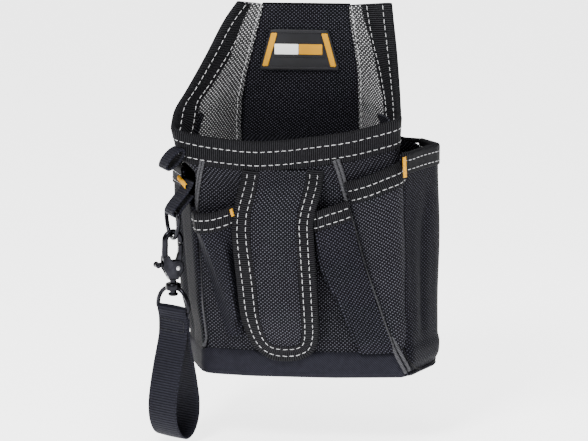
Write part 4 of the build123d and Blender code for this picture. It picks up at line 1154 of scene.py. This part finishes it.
# Swivel: pin with its head, collar and eye.
joined("swivel_pin_turned", [lathe([(0.05, -125.8), (2.3, -125.9), (2.3, -135.6), (3.3, -135.8), (3.6, -136.2),
                                    (3.6, -137.0), (3.0, -137.7), (0.05, -137.9)])],
       M["nickel"], "hook", ["swivel_pin"])
ring_eye = [(14.2 * math.cos(t), -145.6 + 14.2 * math.sin(t)) for t in np.linspace(0.02, math.pi - 0.02, 44)]
ring_eye += [(-14.2, -145.9), (-14.0, -147.0), (-13.2, -147.9), (-12.4, -148.0)]
ring_eye += [(b, -148.0) for b in np.linspace(-11.5, 11.5, 18)]
ring_eye += [(12.4, -148.0), (13.2, -147.9), (14.0, -147.0), (14.2, -145.9)]
ring_eye = resample(np.array(ring_eye + ring_eye[:1]), 91)[:-1]
eye_parts = [tube_parts(chain(ring_eye[:, 0], 0.0, ring_eye[:, 1], EW, EN), 1.5, 14, closed=True)]
collar = [(2.45, -128.6), (4.4, -128.5), (5.2, -128.9), (5.45, -129.8), (5.45, -132.4), (5.2, -133.3), (4.4, -133.7),
          (2.45, -133.6), (2.4, -131.0), (2.45, -128.6)]
eye_parts.append(lathe(collar))
joined("swivel_eye_wire", eye_parts, M["nickel"], "eye", ["swivel_eye"])

# Tape strap: one webbing loop through the eye with its ends sewn together.
strap_line = [(0.95, -163.0), (0.95, -155.0), (1.6, -151.4), (2.45, -148.4)]
strap_line += [(2.45 * math.cos(t), -148.0 + 2.45 * math.sin(t)) for t in np.linspace(0.4, math.pi - 0.4, 7)]
strap_line += [(-2.45, -148.4), (-1.6, -151.4), (-0.9, -155.0), (-0.9, -164.0), (-1.7, -169.5), (-4.2, -178.0),
               (-7.6, -189.0), (-11.4, -204.0), (-13.4, -217.0), (-12.2, -229.0), (-7.2, -238.2), (0.0, -241.6),
               (7.2, -238.2), (12.2, -229.0), (13.4, -217.0), (11.4, -204.0), (8.0, -189.0), (5.0, -178.0),
               (3.2, -170.0), (2.75, -163.5), (2.75, -153.8)]
strap_line = smooth_line(strap_line, 190)
strip("tape_strap_webbing", strap_line, 25.0, 1.6, "strap", ["tape_strap"], u=EN, v=EW, cup=0.35)
for z0 in (-155.5, -163.5):
    stitches("black_thread", chain(-1.75, np.linspace(-11, 11, 12), z0, EN, EW), -EN, pitch=3.4, body="strap")
    stitches("black_thread", chain(3.55, np.linspace(-11, 11, 12), z0, EN, EW), EN, pitch=3.4, body="strap")
for b0 in (-11.0, 11.0):
    stitches("black_thread", chain(-1.75, b0, np.linspace(-155.5, -163.5, 6), EN, EW), -EN, pitch=2.7, body="strap")

# ------------------------------------------------------------------ yellow bar tacks


def tack(start, end, normal, width):
    """Dense satin bar from start to end."""
    start, end = np.asarray(start, float), np.asarray(end, float)
    normal = unit(np.asarray(normal, float))
    length = np.linalg.norm(end - start)
    along = (end - start) / length
    across = np.cross(along, normal)
    count = int(length / 0.52)
    for k in range(count):
        spot = start + along * (k + 0.5) * length / count
        reach = width / 2 * rng.uniform(0.93, 1.05)
        line = []
        for f in (-1, -0.8, -0.3, 0.3, 0.8, 1):
            rise = 0.5 * (1 - f * f) + 0.15 - 0.6 * (abs(f) > 0.95)
            line.append(spot + across * reach * f + along * 0.22 * f + normal * rise)
        tacks.append(tube_parts(np.array(line), 0.33, 6))


tacks = []
tack((78.4, -92.0, -33.6), (79.0, -92.6, -48.0), (0.25, -0.97, 0), 2.1)
tack(*outer.at(np.array([-90.0, -75.5]), np.array([-54.8, -58.8]), 3.0), (-0.87, -0.49, 0.1), 3.4)
tack(*main.at(np.array([-41.0, -39.5]), np.array([-70.5, -75.5]), 14.6), (-0.2, -0.97, 0), 1.9)
joined("bar_tacks_thread", tacks, M["yellow"], "pouch", ["bar_tacks"])

# ------------------------------------------------------------------ light, camera, floor


def area(name, place, target, size, power):
    light = bpy.data.lights.new(name, "AREA")
    light.energy = power
    light.size = size
    lamp = bpy.data.objects.new(name, light)
    lamp.location = place
    lamp.rotation_euler = (Vector(target) - Vector(place)).to_track_quat("-Z", "Y").to_euler()
    bpy.context.scene.collection.objects.link(lamp)


world = bpy.data.worlds.new("studio")
world.use_nodes = True
backdrop = world.node_tree.nodes["Background"]
backdrop.inputs["Color"].default_value = (1.0, 1.0, 1.0, 1.0)
backdrop.inputs["Strength"].default_value = 0.6
bpy.context.scene.world = world

FLOOR_SIZE, FLOOR_Z = 14.0, -0.2465
aim = (-0.003, -0.05, -0.0895)
area("key", (-0.48, -1.0, 1.08), aim, 0.4, 26.0)
area("fill", (0.95, -0.75, 0.25), aim, 0.6, 5.0)
area("top", (0.0, -0.15, 1.0), aim, 0.5, 8.0)

bpy.ops.mesh.primitive_grid_add(x_subdivisions=2, y_subdivisions=2, size=FLOOR_SIZE,
                                location=(0, 0, FLOOR_Z))
floor = bpy.context.object
floor.name = "floor"
paper = Nodes("floor_paper", 0.9)
paper.shader.inputs["Emission Color"].default_value = (1.0, 1.0, 1.0, 1.0)
paper.shader.inputs["Emission Strength"].default_value = 3.0
floor.data.materials.append(paper.finish(paper.ramp(paper.noise(3.0), (0.3, (0.9,) * 3), (0.7, (0.94,) * 3))))

camera_data = bpy.data.cameras.new("camera")
camera_data.lens = 187.0
camera_data.sensor_width = 36.0
camera = bpy.data.objects.new("camera", camera_data)
bpy.context.scene.collection.objects.link(camera)
az, el, reach = math.radians(5.0), math.radians(12.0), 2.2
eye = Vector(aim) + Vector((math.sin(az) * math.cos(el), -math.cos(az) * math.cos(el), math.sin(el))) * reach
camera.location = eye
camera.rotation_euler = (Vector(aim) - eye).to_track_quat("-Z", "Y").to_euler()
bpy.context.scene.camera = camera


for (key, body), (points, faces) in stitch_store.items():
    make(f"stitches_{key}_{body}", points, faces, M[key], body, sharp=80)
